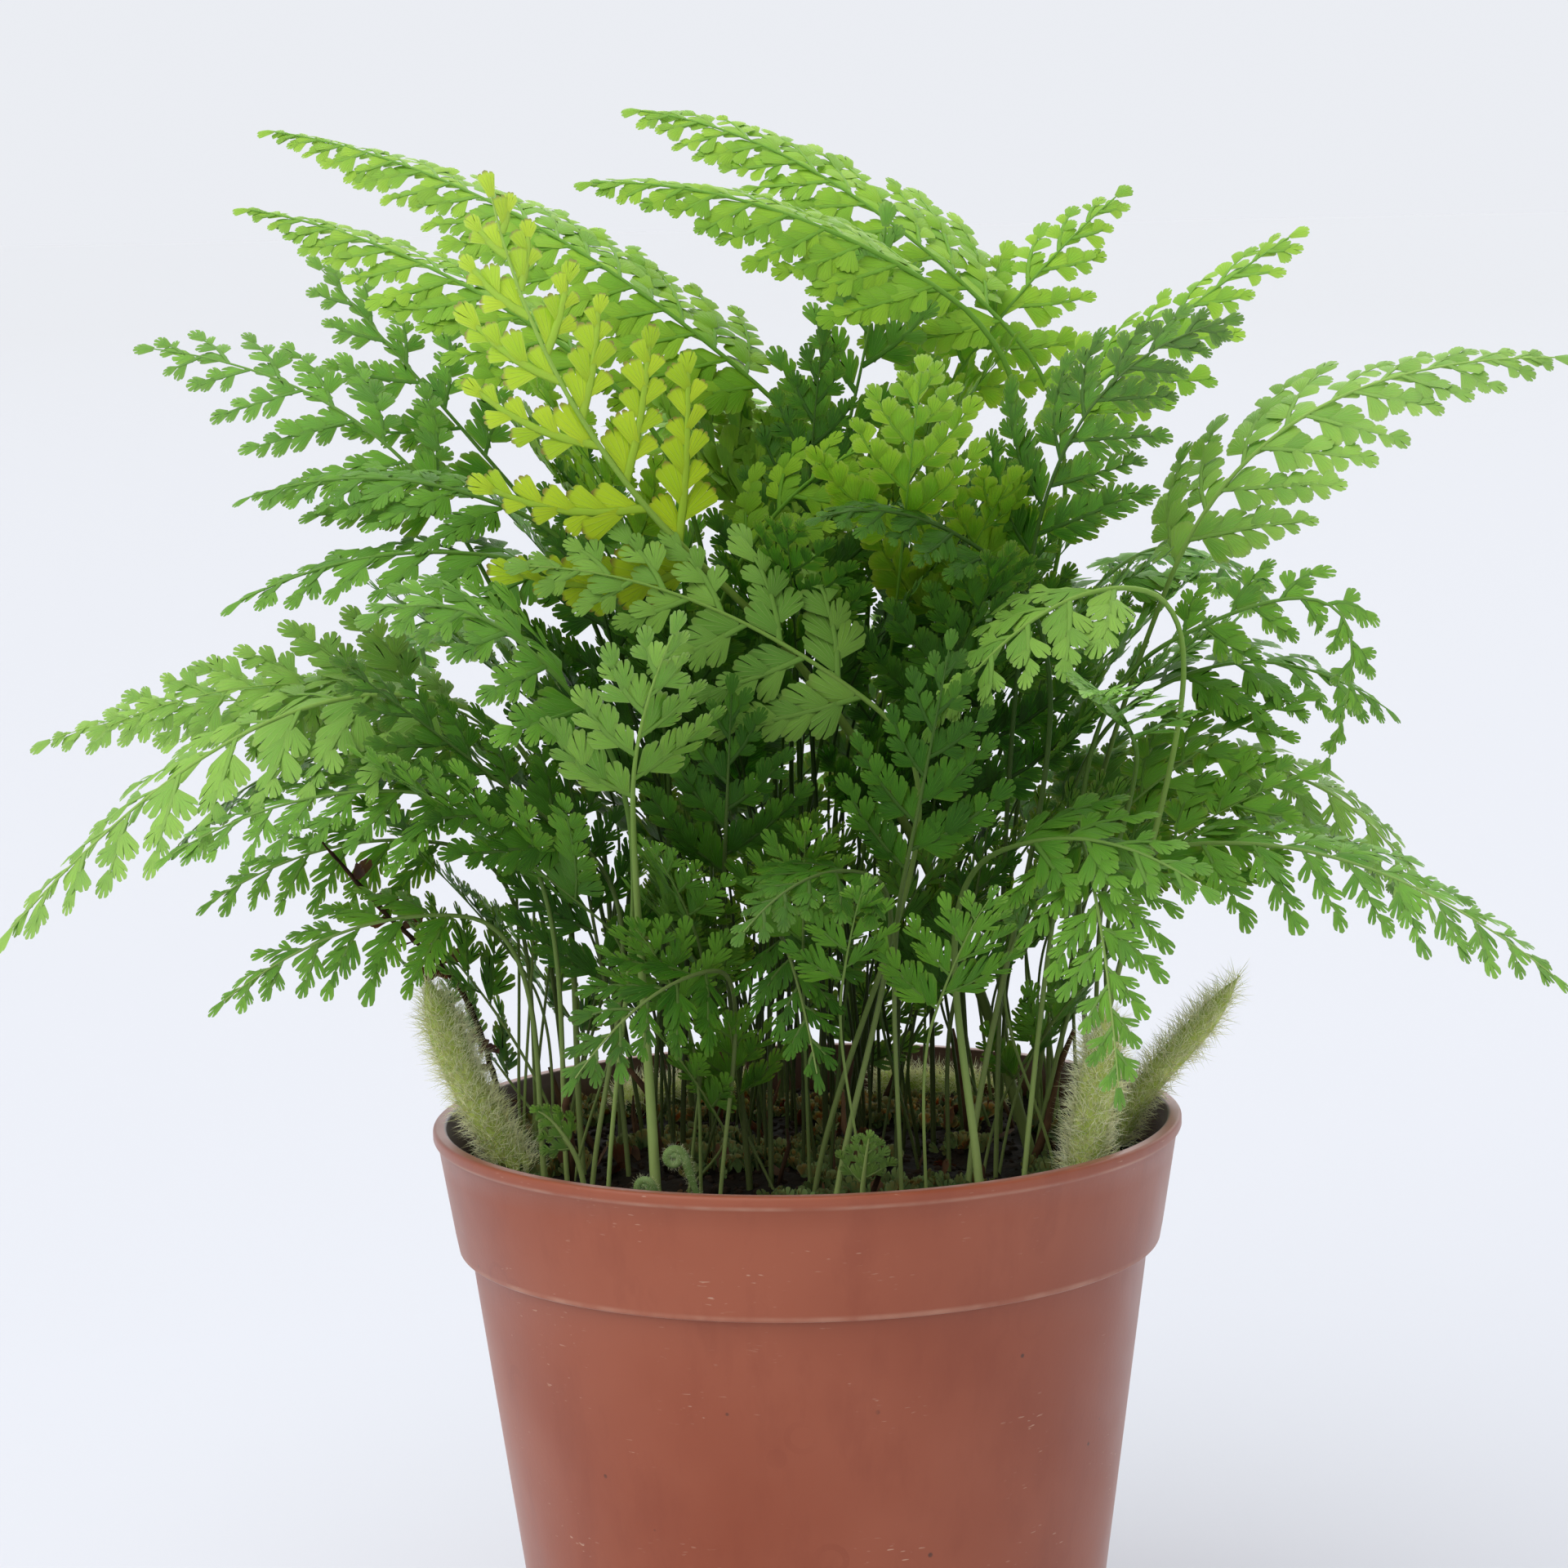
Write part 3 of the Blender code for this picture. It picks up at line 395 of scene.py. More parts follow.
def makeLeaflets():        # one collection for each style, its leaflets in the order of their names
    drawers = {}
    for style, shapes in leaflets.items():
        made = [makeLeaflet("%s_%d" % (style, k), *shape) for k, shape in enumerate(shapes)]
        drawers[style] = drawerOf("leaflets_" + style, made)
    return drawers


# node trees of a frond, which is laid out flat and then bent along its line

pinnaInputs = {"Int": ["Pinna", "Pinna Pairs", "Seed"],
               "Float": ["Along", "Stalk Length", "Blade Length", "Half Width", "Curl", "Droop"]}
pinnaOutputs = {"Vector": ["Position"], "Float": ["Heading", "Side", "Length"]}
pinnaRule = dict(firstPlace=0.22, stagger=0.21, tipRoom=0.45, leastSpare=0.01, crowding=1.22, taper=0.80,
                 slantAtFoot=62, slantLoss=22, lengthPlay=(0.86, 1.08), slantPlay=(-6, 6))


def pinnaTree():        # where a place along a pinna lies on the flat frond, and how the pinna heads there
    rule = pinnaRule
    tree, given, result = newTree("pinnaPlace", pinnaInputs, pinnaOutputs)
    pinna, along, seed = given["Pinna"], given["Along"], given["Seed"]
    row = calc("FLOOR", pinna / 2)
    side = calc("MODULO", pinna, 2) * 2 - 1
    offset = (side + 1) * rule["stagger"] + rule["firstPlace"]
    spare = 1 - (row + offset) / (given["Pinna Pairs"] + rule["tipRoom"])
    spare = calc("POWER", calc("MAXIMUM", spare, rule["leastSpare"]), rule["crowding"])
    share = 1 - spare
    length = given["Half Width"] * calc("POWER", spare, rule["taper"])
    length = length * randomBetween(*rule["lengthPlay"], pinna, seed)
    slant = share * -rule["slantLoss"] + rule["slantAtFoot"]
    slant = calc("RADIANS", slant + randomBetween(*rule["slantPlay"], pinna, seed + 7))
    turned = given["Curl"] * along
    chord = slant - turned * 0.5
    reach = length * along
    x = given["Stalk Length"] + share * given["Blade Length"] + reach * calc("COSINE", chord)
    y = side * reach * calc("SINE", chord)
    z = length * along * along * given["Droop"] * -1
    plug(join3(x, y, z), result["Position"])
    plug(side * (slant - turned), result["Heading"])
    plug(side, result["Side"])
    plug(length, result["Length"])
    return tree


frondInputs = {"Geometry": ["Geometry"], "Int": ["Pinna Pairs", "Leaflet Slots", "Seed"],
               "Float": ["Stalk Length", "Blade Length", "Half Width", "Fold", "Leaflet Spacing",
                         "Leaflet Size", "Leaflet Angle", "Curl", "Droop", "Ripple", "Stalk Radius",
                         "Rib Radius", "Wing"],
               "Collection": ["Leaflets"], "Material": ["Material"]}
leafletRule = dict(firstGap=0.75, lastPlace=0.92, turnLoss=0.25, turnPlay=(-0.13, 0.13),
                   rollPlay=(-0.28, 0.28), pitchPlay=(-0.14, 0.16), sizeLoss=0.50, upperMore=0.07,
                   shortShare=0.55, sizePlay=(0.84, 1.16), tipMore=0.25, endSize=0.55, kinds=(0, 2.999),
                   tipKind=3, tipNear=0.4)
ribRule = dict(steps=5, reach=0.97, sides=6, flatness=0.34, tipShare=0.55, mark=0.4,
               mainSteps=64, mainSides=7, mainTip=0.30, mainMark=1.0)
ripple = dict(size=130, starts=0.5 * mm, full=6 * mm)


def frondLeaflets(given, pinnaAt, index, total):        # alternate on each pinna, a lobed one at its tip
    rule, seed, slots = leafletRule, given["Seed"], given["Leaflet Slots"]

    def play(name, number):        # a chance value of its own for each leaflet
        return randomBetween(*rule[name], index, seed + number)

    pinna = calc("FLOOR", (index + 0.5) / slots)
    place = index - pinna * slots
    wanted = calc("ROUND", pinnaAt(pinna, 0.0)["Length"] / given["Leaflet Spacing"])
    wanted = calc("MAXIMUM", wanted, 1)
    along = (place + rule["firstGap"]) / (wanted + rule["firstGap"]) * rule["lastPlace"]
    spot = pinnaAt(pinna, along)
    atTip = calc("COMPARE", place, wanted, rule["tipNear"])
    upper = 1 - calc("MODULO", place, 2) * 2
    turn = calc("RADIANS", given["Leaflet Angle"]) * (along * -rule["turnLoss"] + 1) * upper * (1 - atTip)
    yaw = spot["Heading"] - (turn + play("turnPlay", 0)) * spot["Side"]
    rotation = join3(play("rollPlay", 1), play("pitchPlay", 2), yaw)
    size = (along * -rule["sizeLoss"] + 1) * (upper * rule["upperMore"] + 1)
    size = size * (spot["Length"] / given["Half Width"] * (1 - rule["shortShare"]) + rule["shortShare"])
    size = size * given["Leaflet Size"] * play("sizePlay", 3) * (atTip * rule["tipMore"] + 1)
    kind = calc("FLOOR", play("kinds", 4))
    drawer = geo("CollectionInfo", given["Leaflets"], {"Separate Children": True, "Reset Children": True})
    points = geo("Points", given["Pinna Pairs"] * 2 * slots, {"Position": spot["Position"]})
    leaves = geo("InstanceOnPoints", points, {
        "Selection": calc("LESS_THAN", place, wanted + 0.5), "Instance": drawer, "Pick Instance": True,
        "Instance Index": kind + atTip * (rule["tipKind"] - kind), "Scale": size,
        "Rotation": flow("FunctionNodeEulerToRotation", {"Euler": rotation})})
    end = geo("InstanceOnPoints", geo("Points", 1, {"Position": join3(total, 0, 0)}), {
        "Instance": drawer, "Pick Instance": True, "Instance Index": rule["tipKind"],
        "Scale": given["Leaflet Size"] * rule["endSize"]})
    tone = randomBetween(0, 1, index, seed + 5)
    return geo("RealizeInstances", store(joined(leaves, end), "tone", tone, "INSTANCE"))


def sweep(curve, sides, flatness, radius, mark):        # a rod along a curve, marked as rib for its colour
    profile = geo("CurvePrimitiveCircle", sides, {"Radius": 1.0})
    if flatness < 1:
        profile = geo("Transform", profile, {"Scale": (1.0, flatness, 1.0)})
    rod = geo("CurveToMesh", curve, {"Profile Curve": profile, "Scale": radius, "Fill Caps": True})
    return store(rod, "rib", mark)


def frondStems(given, pinnaAt, index, total):        # flat ribs of the pinnae, stalk and main rib
    rule, factor = ribRule, flow("GeometryNodeSplineParameter", output="Factor")
    pinna = calc("FLOOR", (index + 0.5) / rule["steps"])
    along = (index - pinna * rule["steps"]) / (rule["steps"] - 1)
    place = pinnaAt(pinna, along * rule["reach"])["Position"]
    points = geo("Points", given["Pinna Pairs"] * 2 * rule["steps"], {"Position": place})
    curves = geo("PointsToCurves", points, {"Curve Group ID": pinna, "Weight": along})
    radius = given["Wing"] * remap(factor, 0, 1, 1.0, rule["tipShare"])
    ribs = sweep(curves, rule["sides"], rule["flatness"], radius, rule["mark"])
    line = flow("GeometryNodeCurvePrimitiveLine", {"End": join3(total, 0, 0)})
    line = geo("ResampleCurve", line, {"Count": rule["mainSteps"]})
    stalkShare = given["Stalk Length"] / total
    radius = remap(factor, 0, stalkShare, given["Stalk Radius"], given["Rib Radius"])
    radius = radius * remap(factor, stalkShare, 1, 1, rule["mainTip"])
    stems = joined(ribs, sweep(line, rule["mainSides"], 1, radius, rule["mainMark"]))
    return geo("SetShadeSmooth", stems, {"Shade Smooth": True})


def bendAlong(given, flat, index, total):
    way = geo("PointsToCurves", geo("MeshToPoints", given["Geometry"]), {"Weight": index})
    sideways = geo("InputNamedAttribute", "sideways", data_type="FLOAT_VECTOR")
    here = flow("GeometryNodeInputPosition")
    x, y, z = split3(here)
    sample = flows("GeometryNodeSampleCurve", {"Curves": way, "Value": sideways, "Length": x},
                   mode="LENGTH", data_type="FLOAT_VECTOR")
    ahead = sample["Tangent"]
    side = calcVector("NORMALIZE", sample["Value"])
    face = calcVector("CROSS_PRODUCT", side, ahead)
    wide = calc("ABSOLUTE", y)
    waves = noiseAt(here + join3(0, 0, given["Seed"]), ripple["size"], 1) - 0.5
    waves = waves * given["Ripple"] * remap(wide, ripple["starts"], ripple["full"])
    lift = wide * calc("SINE", given["Fold"]) + z + waves
    target = sample["Position"] + side * (y * calc("COSINE", given["Fold"])) + face * lift
    target = target + ahead * calc("MAXIMUM", x - total, 0)
    bent = geo("SetPosition", flat, {"Position": target})
    return geo("SetMaterial", bent, {"Material": given["Material"]})


def frondTree(pinnaGroup):
    tree, given, result = newTree("fernFrond", frondInputs)
    index = flow("GeometryNodeInputIndex")
    total = given["Stalk Length"] + given["Blade Length"]
    shared = {name: given[name] for labels in pinnaInputs.values() for name in labels if name in given}

    def pinnaAt(pinna, along):
        return flows("GeometryNodeGroup", {**shared, "Pinna": pinna, "Along": along}, node_tree=pinnaGroup)

    leaves = frondLeaflets(given, pinnaAt, index, total)
    stems = frondStems(given, pinnaAt, index, total)
    plug(bendAlong(given, joined(leaves, stems), index, total), result["Geometry"])
    return tree


# the line of each frond, as the solids have it: millimetres, and degrees for the fold

lineRule = dict(stalkPoints=24, bladePoints=25, startPull=0.38, endPull=0.30, rootDepth=5.5 * mm,
                usualFold=-8, halfBlade=0.3 * mm, nearTip=0.02 * mm, nearCorner=0.05 * mm,
                steps=(0, 3, -3, 6, -6, 9, -9), rolls=(0, 10, -10, 20, -20), sizes=(1.0, 0.9, 0.8))
topLook = dict(gap=5.6, size=1.05, angle=38)

frondParts = ("root", "foot", "tip", "bow", "width", "face", "style")
fronds = {
    # root, foot and tip of the blade, bow of its middle, half its width, where its face looks, style, and
    # what else it has: fold, look (what differs from its style's) and tint (its leaf material, if not its
    # slot's)
    "frond_lime_hero": ((37, -8), (-12, -30, 194), (-44, -34, 252), (-9, -4, -5), 30,
        (0.1, -1, 0.25), "wedge", dict(look=dict(stalk=1.0))),
    "frond_dark_crest": ((29, -20), (36, -21, 194), (65, -30, 231), (-10, -5, 13), 21,
        (-0.2, -1, 0.4), "lacy"),
    "frond_front_left": ((-31, -37), (-31, -45, 175), (-60, -66, 193), (0, 0, 14), 17,
        (0.2, -0.7, 0.7), "lobed"),
    "frond_front_small": ((-23, -42), (-25, -47, 162), (-18, -64, 189), (-3, -3, 0), 17,
        (0.3, -1, 0.2), "lobed", dict(look=dict(stalk=0.95))),
    "frond_front_middle": ((0, -33), (11, -38, 175), (-40, -33, 197), (0, -3, 10), 21,
        (0.1, -0.8, 0.6), "lobed"),
    "frond_blue_front": ((14, -38), (15, -47, 150), (22, -55, 185), (0, -4, 0), 18, (-0.1, -1, 0.1), "lacy"),
    "frond_pale_strip": ((42, -16), (49, -38, 192), (20, -50, 174), (0, -4, 10), 15,
        (0, -0.4, 0.9), "lobed"),
    "frond_folded": ((35, -12), (52, -26, 176), (44, -80, 190), (0, 0, 5), 15, (0, -0.2, 1), "lobed",
        dict(fold=32)),
    "frond_hanging_front": ((32, -35), (42, -35, 155), (45, -68, 122), (0, -12, 10), 17,
        (0, -1, 0.4), "finger"),
    "frond_reaching_right": ((49, -10), (57, -20, 150), (113, -40, 132), (0, 0, 14), 21,
        (0, -0.45, 0.9), "finger"),
    "frond_low_right": ((46, 12), (64, 6, 160), (100, 0, 137), (6, 0, 12), 22, (0.2, -0.4, 0.9), "finger"),
    "frond_curling": ((44, -12), (59, -8, 181), (82, -18, 163), (26, -1, 28), 10, (0, -1, 0.2), "lacy",
        dict(tint="leaf_mid", look=dict(gap=8.8, size=0.72))),
    "frond_far_right": ((36, 12), (60, 5, 190), (122, 10, 223), (-16, 0, 18), 24, (-0.3, -0.6, 0.7), "fan"),
    "frond_long_left": ((-35, -14), (-53, -14, 174), (-121, -30, 143), (5, 2, 26), 28,
        (0, -0.35, 0.94), "lobed"),
    "frond_low_left": ((-37, -24), (-52, -28, 164), (-95, -38, 158), (0, 0, 9), 17,
        (0, -0.5, 0.85), "finger"),
    "frond_fine_left": ((-43, 2), (-56, 0, 150), (-94, -2, 142), (0, 0, 8), 17, (0, -0.6, 0.8), "finger"),
    "frond_lowest_left": ((-41, -17), (-53, -22, 142), (-89, -31, 131), (0, 0, 8), 15,
        (0, -0.6, 0.8), "finger"),
    "frond_top_left": ((-8, 14), (-4, 18, 220), (-86, 56, 264), (0, 0, 15), 24, (0, -0.6, 0.9), "fan",
        dict(fold=-18, look=topLook)),
    "frond_second_left": ((-15, 2), (-31, 4, 225), (-86, 18, 251), (0, 0, 8), 20, (0, -0.5, 0.9), "fan",
        dict(fold=-16, look=topLook)),
    "frond_top_middle": ((14, 24), (36, 32, 229), (-24, 50, 266), (0, 0, 14), 26, (0, -0.7, 0.9), "fan",
        dict(fold=-16, look=topLook)),
    "frond_top_front": ((6, 6), (24, 2, 236), (-30, -6, 254), (0, 0, 9), 19, (0, -0.6, 0.9), "fan",
        dict(fold=-16, look=topLook)),
    "frond_upper_right": ((16, 38), (22, 34, 214), (56, 48, 250), (0, 0, 5), 22, (-0.2, -0.7, 0.7), "fan"),
    "frond_right_tip": ((26, 12), (40, 14, 212), (80, 12, 243), (0, 0, 3), 21, (-0.2, -0.6, 0.8), "fan"),
    "frond_dark_left": ((-26, 12), (-54, 10, 200), (-103, 22, 229), (9, 0, 10), 26,
        (0.2, -0.8, 0.6), "lacy", dict(tint="leaf_mid", look=dict(gap=7.6, size=0.82))),
    "frond_dark_left_high": ((-18, 26), (-46, 28, 205), (-77, 38, 241), (-3, 0, 4), 24,
        (0.2, -0.9, 0.4), "lacy", dict(tint="leaf_mid", look=dict(gap=7.6, size=0.82))),
    "frond_left_flat": ((-24, -12), (-37, -9, 194), (-86, -14, 191), (0, 0, 10), 18,
        (0, -0.4, 0.9), "lobed"),
    "frond_left_flat_high": ((-30, 4), (-44, 0, 203), (-86, 4, 206), (0, 0, 8), 18, (0, -0.4, 0.9), "lacy",
        dict(tint="leaf_mid")),
    "frond_heart": ((3, -6), (2, -8, 168), (5, -4, 228), (-3, -5, 0), 27, (0, -1, 0.15), "lacy"),
    "frond_small_crown": ((-6, -14), (-8, -17, 196), (14, -22, 214), (-2, 0, 5), 13, (0, -0.8, 0.6), "fan"),
    "frond_right_strip": ((24, -32), (30, -30, 196), (4, -44, 204), (0, 0, 7), 14, (0, -0.5, 0.9), "lacy"),
    "frond_low_front": ((3, -42), (9, -49, 151), (-12, -72, 147), (0, 0, 7), 13, (0, -0.6, 0.8), "lacy"),
    "frond_low_front_right": ((26, -41), (30, -40, 147), (58, -60, 144), (0, 0, 8), 16,
        (0, -0.7, 0.7), "lobed", dict(look=dict(stalk=0.75))),
    "frond_right_shade": ((38, 4), (56, 0, 172), (94, 4, 168), (0, 0, 12), 22, (0, -0.6, 0.8), "lacy",
        dict(tint="leaf_mid")),
    "frond_left_shade": ((-34, -26), (-34, -30, 148), (-68, -32, 176), (-2, 0, 2), 19,
        (0.2, -1, 0.3), "lacy"),
    "frond_under_left": ((-14, -38), (-14, -42, 136), (-34, -62, 124), (0, -4, 7), 14,
        (0, -0.9, 0.5), "finger"),
    "frond_under_middle": ((-6, -26), (-4, -30, 140), (2, -60, 121), (0, -6, 8), 15,
        (0, -0.9, 0.5), "finger"),
    "frond_core_left": ((-20, -2), (-22, -4, 158), (-34, 2, 212), (-4, -6, 0), 27, (0.15, -1, 0.1), "lacy"),
    "frond_core_right": ((20, -2), (24, -4, 150), (34, 4, 206), (4, -6, 0), 28, (-0.15, -1, 0.1), "lacy"),
    "frond_crown_back": ((0, 20), (4, 22, 196), (16, 26, 246), (2, -4, 0), 24, (0, -1, 0.2), "lobed"),
    "frond_star": ((-9, -24), (-12, -33, 148), (-10, -44, 178), (0, -5, 0), 18, (0, -1, 0.3), "lacy"),
    "frond_low_core_left": ((-28, -16), (-31, -17, 132), (-36, -20, 168), (0, -4, 0), 19,
        (0, -1, 0.3), "finger"),
    "frond_low_core_right": ((22, -18), (23, -22, 126), (30, -28, 162), (0, -5, 0), 19,
        (0, -1, 0.3), "finger"),
    "frond_back_left": ((-30, 26), (-46, 42, 178), (-84, 78, 160), (0, 0, 21), 26, (0, 0, 1), "lobed"),
    "frond_back_high": ((-4, 32), (-8, 46, 206), (-22, 104, 206), (0, 0, 24), 27, (0, 0, 1), "fan"),
    "frond_back_low": ((2, 40), (8, 56, 158), (14, 106, 138), (0, 0, 20), 27, (0, 0, 1), "lobed"),
    "frond_back_right": ((32, 28), (48, 42, 182), (84, 82, 176), (0, 0, 22), 26, (0, 0, 1), "lobed"),
    "frond_back_side": ((40, 22), (60, 30, 150), (104, 46, 130), (0, 0, 16), 22, (0, 0, 1), "lacy"),
    "frond_side_left": ((-38, 14), (-56, 18, 158), (-104, 34, 146), (0, 0, 18), 22, (0, 0, 1), "lacy"),
    "leaf_juvenile_left": ((-34, -32), (-36, -34, 107), (-41, -37, 114), (0, 0, 2), 4,
        (0, -0.8, 0.6), "young"),
    "leaf_juvenile_middle": ((8, -45), (8, -45, 103), (9, -48, 111), (0, 0, 1), 5, (0, -0.8, 0.6), "young")}


def planOf(parts, row):        # a row of a table with the names of its parts, and what else the row has
    return dict(zip(parts, row), **dict(*row[len(parts):]))


def standing(plan, lift, turn, size):        # root, foot, middle pull and tip of a frond's line, in metres
    root = Vector((plan["root"][0] * mm, plan["root"][1] * mm, 0))
    root.z = soilHeight(root.x, root.y) - lineRule["rootDepth"]
    spin = Matrix.Rotation(math.radians(turn), 3, "Z")
    foot = root + spin @ (Vector(plan["foot"]) * mm - root) + lift * mm * up
    tip = foot + size * (spin @ (Vector(plan["tip"]) - Vector(plan["foot"]))) * mm
    middle = 0.5 * (foot + tip) + size * (spin @ Vector(plan["bow"])) * mm
    return root, foot, middle, tip


def frondLine(plan, lift, turn, size, roll):        # points, the way sideways at each, and lengths
    rule = lineRule
    root, foot, middle, tip = standing(plan, lift, turn, size)
    reach = (foot - root).length
    low = root + rule["startPull"] * reach * (up + (foot - root).normalized()).normalized()
    high = foot - rule["endPull"] * reach * (middle - foot).normalized()
    points = []
    for k in range(rule["stalkPoints"]):
        t = k / rule["stalkPoints"]
        u = 1 - t
        points.append(root * u ** 3 + low * 3 * t * u * u + high * 3 * t * t * u + foot * t ** 3)
    for k in range(rule["bladePoints"]):
        t = k / (rule["bladePoints"] - 1)
        points.append(foot * (1 - t) ** 2 + middle * 2 * t * (1 - t) + tip * t * t)
    last = len(points) - 1
    chord = (tip - foot).normalized()
    face = Matrix.Rotation(math.radians(roll), 3, chord) @ Vector(plan["face"])
    side = chord.cross(face - chord * face.dot(chord)).normalized()
    ahead = [(points[min(k + 1, last)] - points[max(k - 1, 0)]).normalized() for k in range(last + 1)]
    sides = [side] * (last + 1)
    middlePoint = rule["stalkPoints"] + rule["bladePoints"] // 2
    for order in (range(middlePoint, last + 1), range(middlePoint, -1, -1)):
        level = side
        for k in order:
            level = (level - ahead[k] * level.dot(ahead[k])).normalized()
            sides[k] = level
    steps = [(b - a).length for a, b in zip(points, points[1:])]
    stalk = sum(steps[:rule["stalkPoints"]])
    tipTop = tip + rule["halfBlade"] * sides[last].cross(ahead[last])
    return points, sides, stalk, sum(steps) - stalk, tipTop


def matchedLine(name, plan):        # the solid's own stand: the one whose tip falls on a corner of the solid
    corners = frame["nodes"][name].data.vertices
    tree = kdtree.KDTree(len(corners))
    for corner in corners:
        tree.insert(corner.co, corner.index)
    tree.balance()
    best = None
    for lift, turn, size in product(lineRule["steps"], lineRule["steps"], lineRule["sizes"]):
        tip = standing(plan, lift, turn, size)[3]
        if abs(tree.find(tip)[2] - lineRule["halfBlade"]) > lineRule["nearTip"]:
            continue
        for roll in lineRule["rolls"]:
            found = frondLine(plan, lift, turn, size, roll)
            miss = tree.find(found[4])[2]
            if best is None or miss < best[0]:
                best = (miss, size, found)
    return best


lookParts = ("gap", "size", "spacing", "angle", "curl", "droop", "ripple", "rib", "wing")
frondLook = {
    # for each style, gap between pinnae in mm, leaflet length and spacing as shares of that gap, leaflet
    # angle in degrees, curl and droop of a pinna, and in mm its ripple and half the width of both ribs
    "wedge": (8.8, 0.76, 0.26, 38, 0.45, 0.10, 1.0, 0.60, 0.75),
    "fan": (7.0, 0.90, 0.26, 44, 0.45, 0.10, 1.6, 0.42, 0.45),
    "lobed": (8.0, 0.98, 0.31, 38, 0.40, 0.12, 1.8, 0.42, 0.50),
    "lacy": (6.6, 0.95, 0.26, 42, 0.40, 0.12, 1.8, 0.38, 0.36),
    "finger": (6.6, 1.05, 0.29, 36, 0.30, 0.14, 2.0, 0.36, 0.32),
    "young": (2.6, 1.10, 0.60, 40, 0.30, 0.15, 0.5, 0.42, 0.20)}
growthRule = dict(narrowGap=0.6, usualWidth=22 * mm, leastPairs=4, tipGap=0.9, longest=1.1, spareSlots=2,
                  stalkRadius=(0.32, 0.58), firstSeed=5, seedStep=31)


def growFrond(name, tree, drawers, material, plan, found, size, seed):
    rule = growthRule
    points, sides, stalk, blade, _ = found
    look = {**planOf(lookParts, frondLook[plan["style"]]), **plan.get("look", {})}
    width = size * plan["width"] * mm
    gap = look["gap"] * mm
    if plan["style"] != "young":
        gap *= rule["narrowGap"] + (1 - rule["narrowGap"]) * width / rule["usualWidth"]
    piece = newPiece(name, points, [])
    sideways = piece.data.attributes.new("sideways", "FLOAT_VECTOR", "POINT")
    sideways.data.foreach_set("vector", [c for side in sides for c in side])
    stalkRadius = look.get("stalk", random.Random(seed).uniform(*rule["stalkRadius"]))
    return growWith(piece, tree, {
        "Stalk Length": stalk, "Blade Length": blade, "Half Width": width,
        "Fold": math.radians(plan.get("fold", lineRule["usualFold"])),
        "Pinna Pairs": max(rule["leastPairs"], round(blade / gap - rule["tipGap"])),
        "Leaflet Slots": math.ceil(rule["longest"] * width / (look["spacing"] * gap)) + rule["spareSlots"],
        "Leaflet Spacing": look["spacing"] * gap, "Leaflet Size": look["size"] * gap,
        "Leaflet Angle": float(look["angle"]), "Curl": look["curl"], "Droop": look["droop"],
        "Ripple": look["ripple"] * mm, "Rib Radius": look["rib"] * mm, "Wing": look["wing"] * mm,
        "Stalk Radius": stalkRadius * mm, "Leaflets": drawers[plan["style"]], "Material": material,
        "Seed": seed})


thicketParts = ("count", "around", "root", "foot", "blade", "width", "lean", "rise", "style", "tint")
thicket = {
    # small fronds between the stalks: how many, from where and how far round in degrees, and in mm how far
    # out they root, how high their blades start, how long and half as wide those are; how far they lean out
    # and rise, style, slot, and for some where they face and how far they bow
    "thicketLow": (42, (0, 360), (10, 44), (108, 142), (20, 32), (10, 16), 0.62, 0.72, "finger", "leaf_mid"),
    "thicketHigh": (20, (0, 360), (2, 30), (142, 182), (28, 40), (16, 22), 0.62, 0.72, "lacy", "leaf_dark"),
    "thicketSides": (14, (-24, 228), (20, 42), (138, 182), (34, 48), (16, 24), 0.8, 0.6, "lacy", "leaf_mid"),
    "thicketTop": (8, (0, 360), (4, 24), (182, 202), (30, 42), (18, 24), 0.55, 0.72, "fan", "leaf_vivid"),
    "thicketRight": (6, (-4, 50), (40, 44), (136, 160), (28, 38), (15, 20), 0.8, 0.46, "lobed", "leaf_mid",
                     dict(face=(-0.2, -0.9, 0.4))),
    "thicketLeft": (3, (168, 24), (42, 46), (163, 173), (50, 60), (14, 17), 1.0, -0.03, "lobed", "leaf_pale",
                    dict(face=(0.1, -0.9, 0.5), bow=10))}
thicketRule = dict(turn=0.381966, outward=6, aside=13, faceUp=0.45, footShare=(0.7, 1.2), usualBow=3,
                   stalk=(0.22, 0.34), rib=0.22, wing=0.26, spin=4, roll=25, firstDice=100, firstSeed=500,
                   seedStep=40)


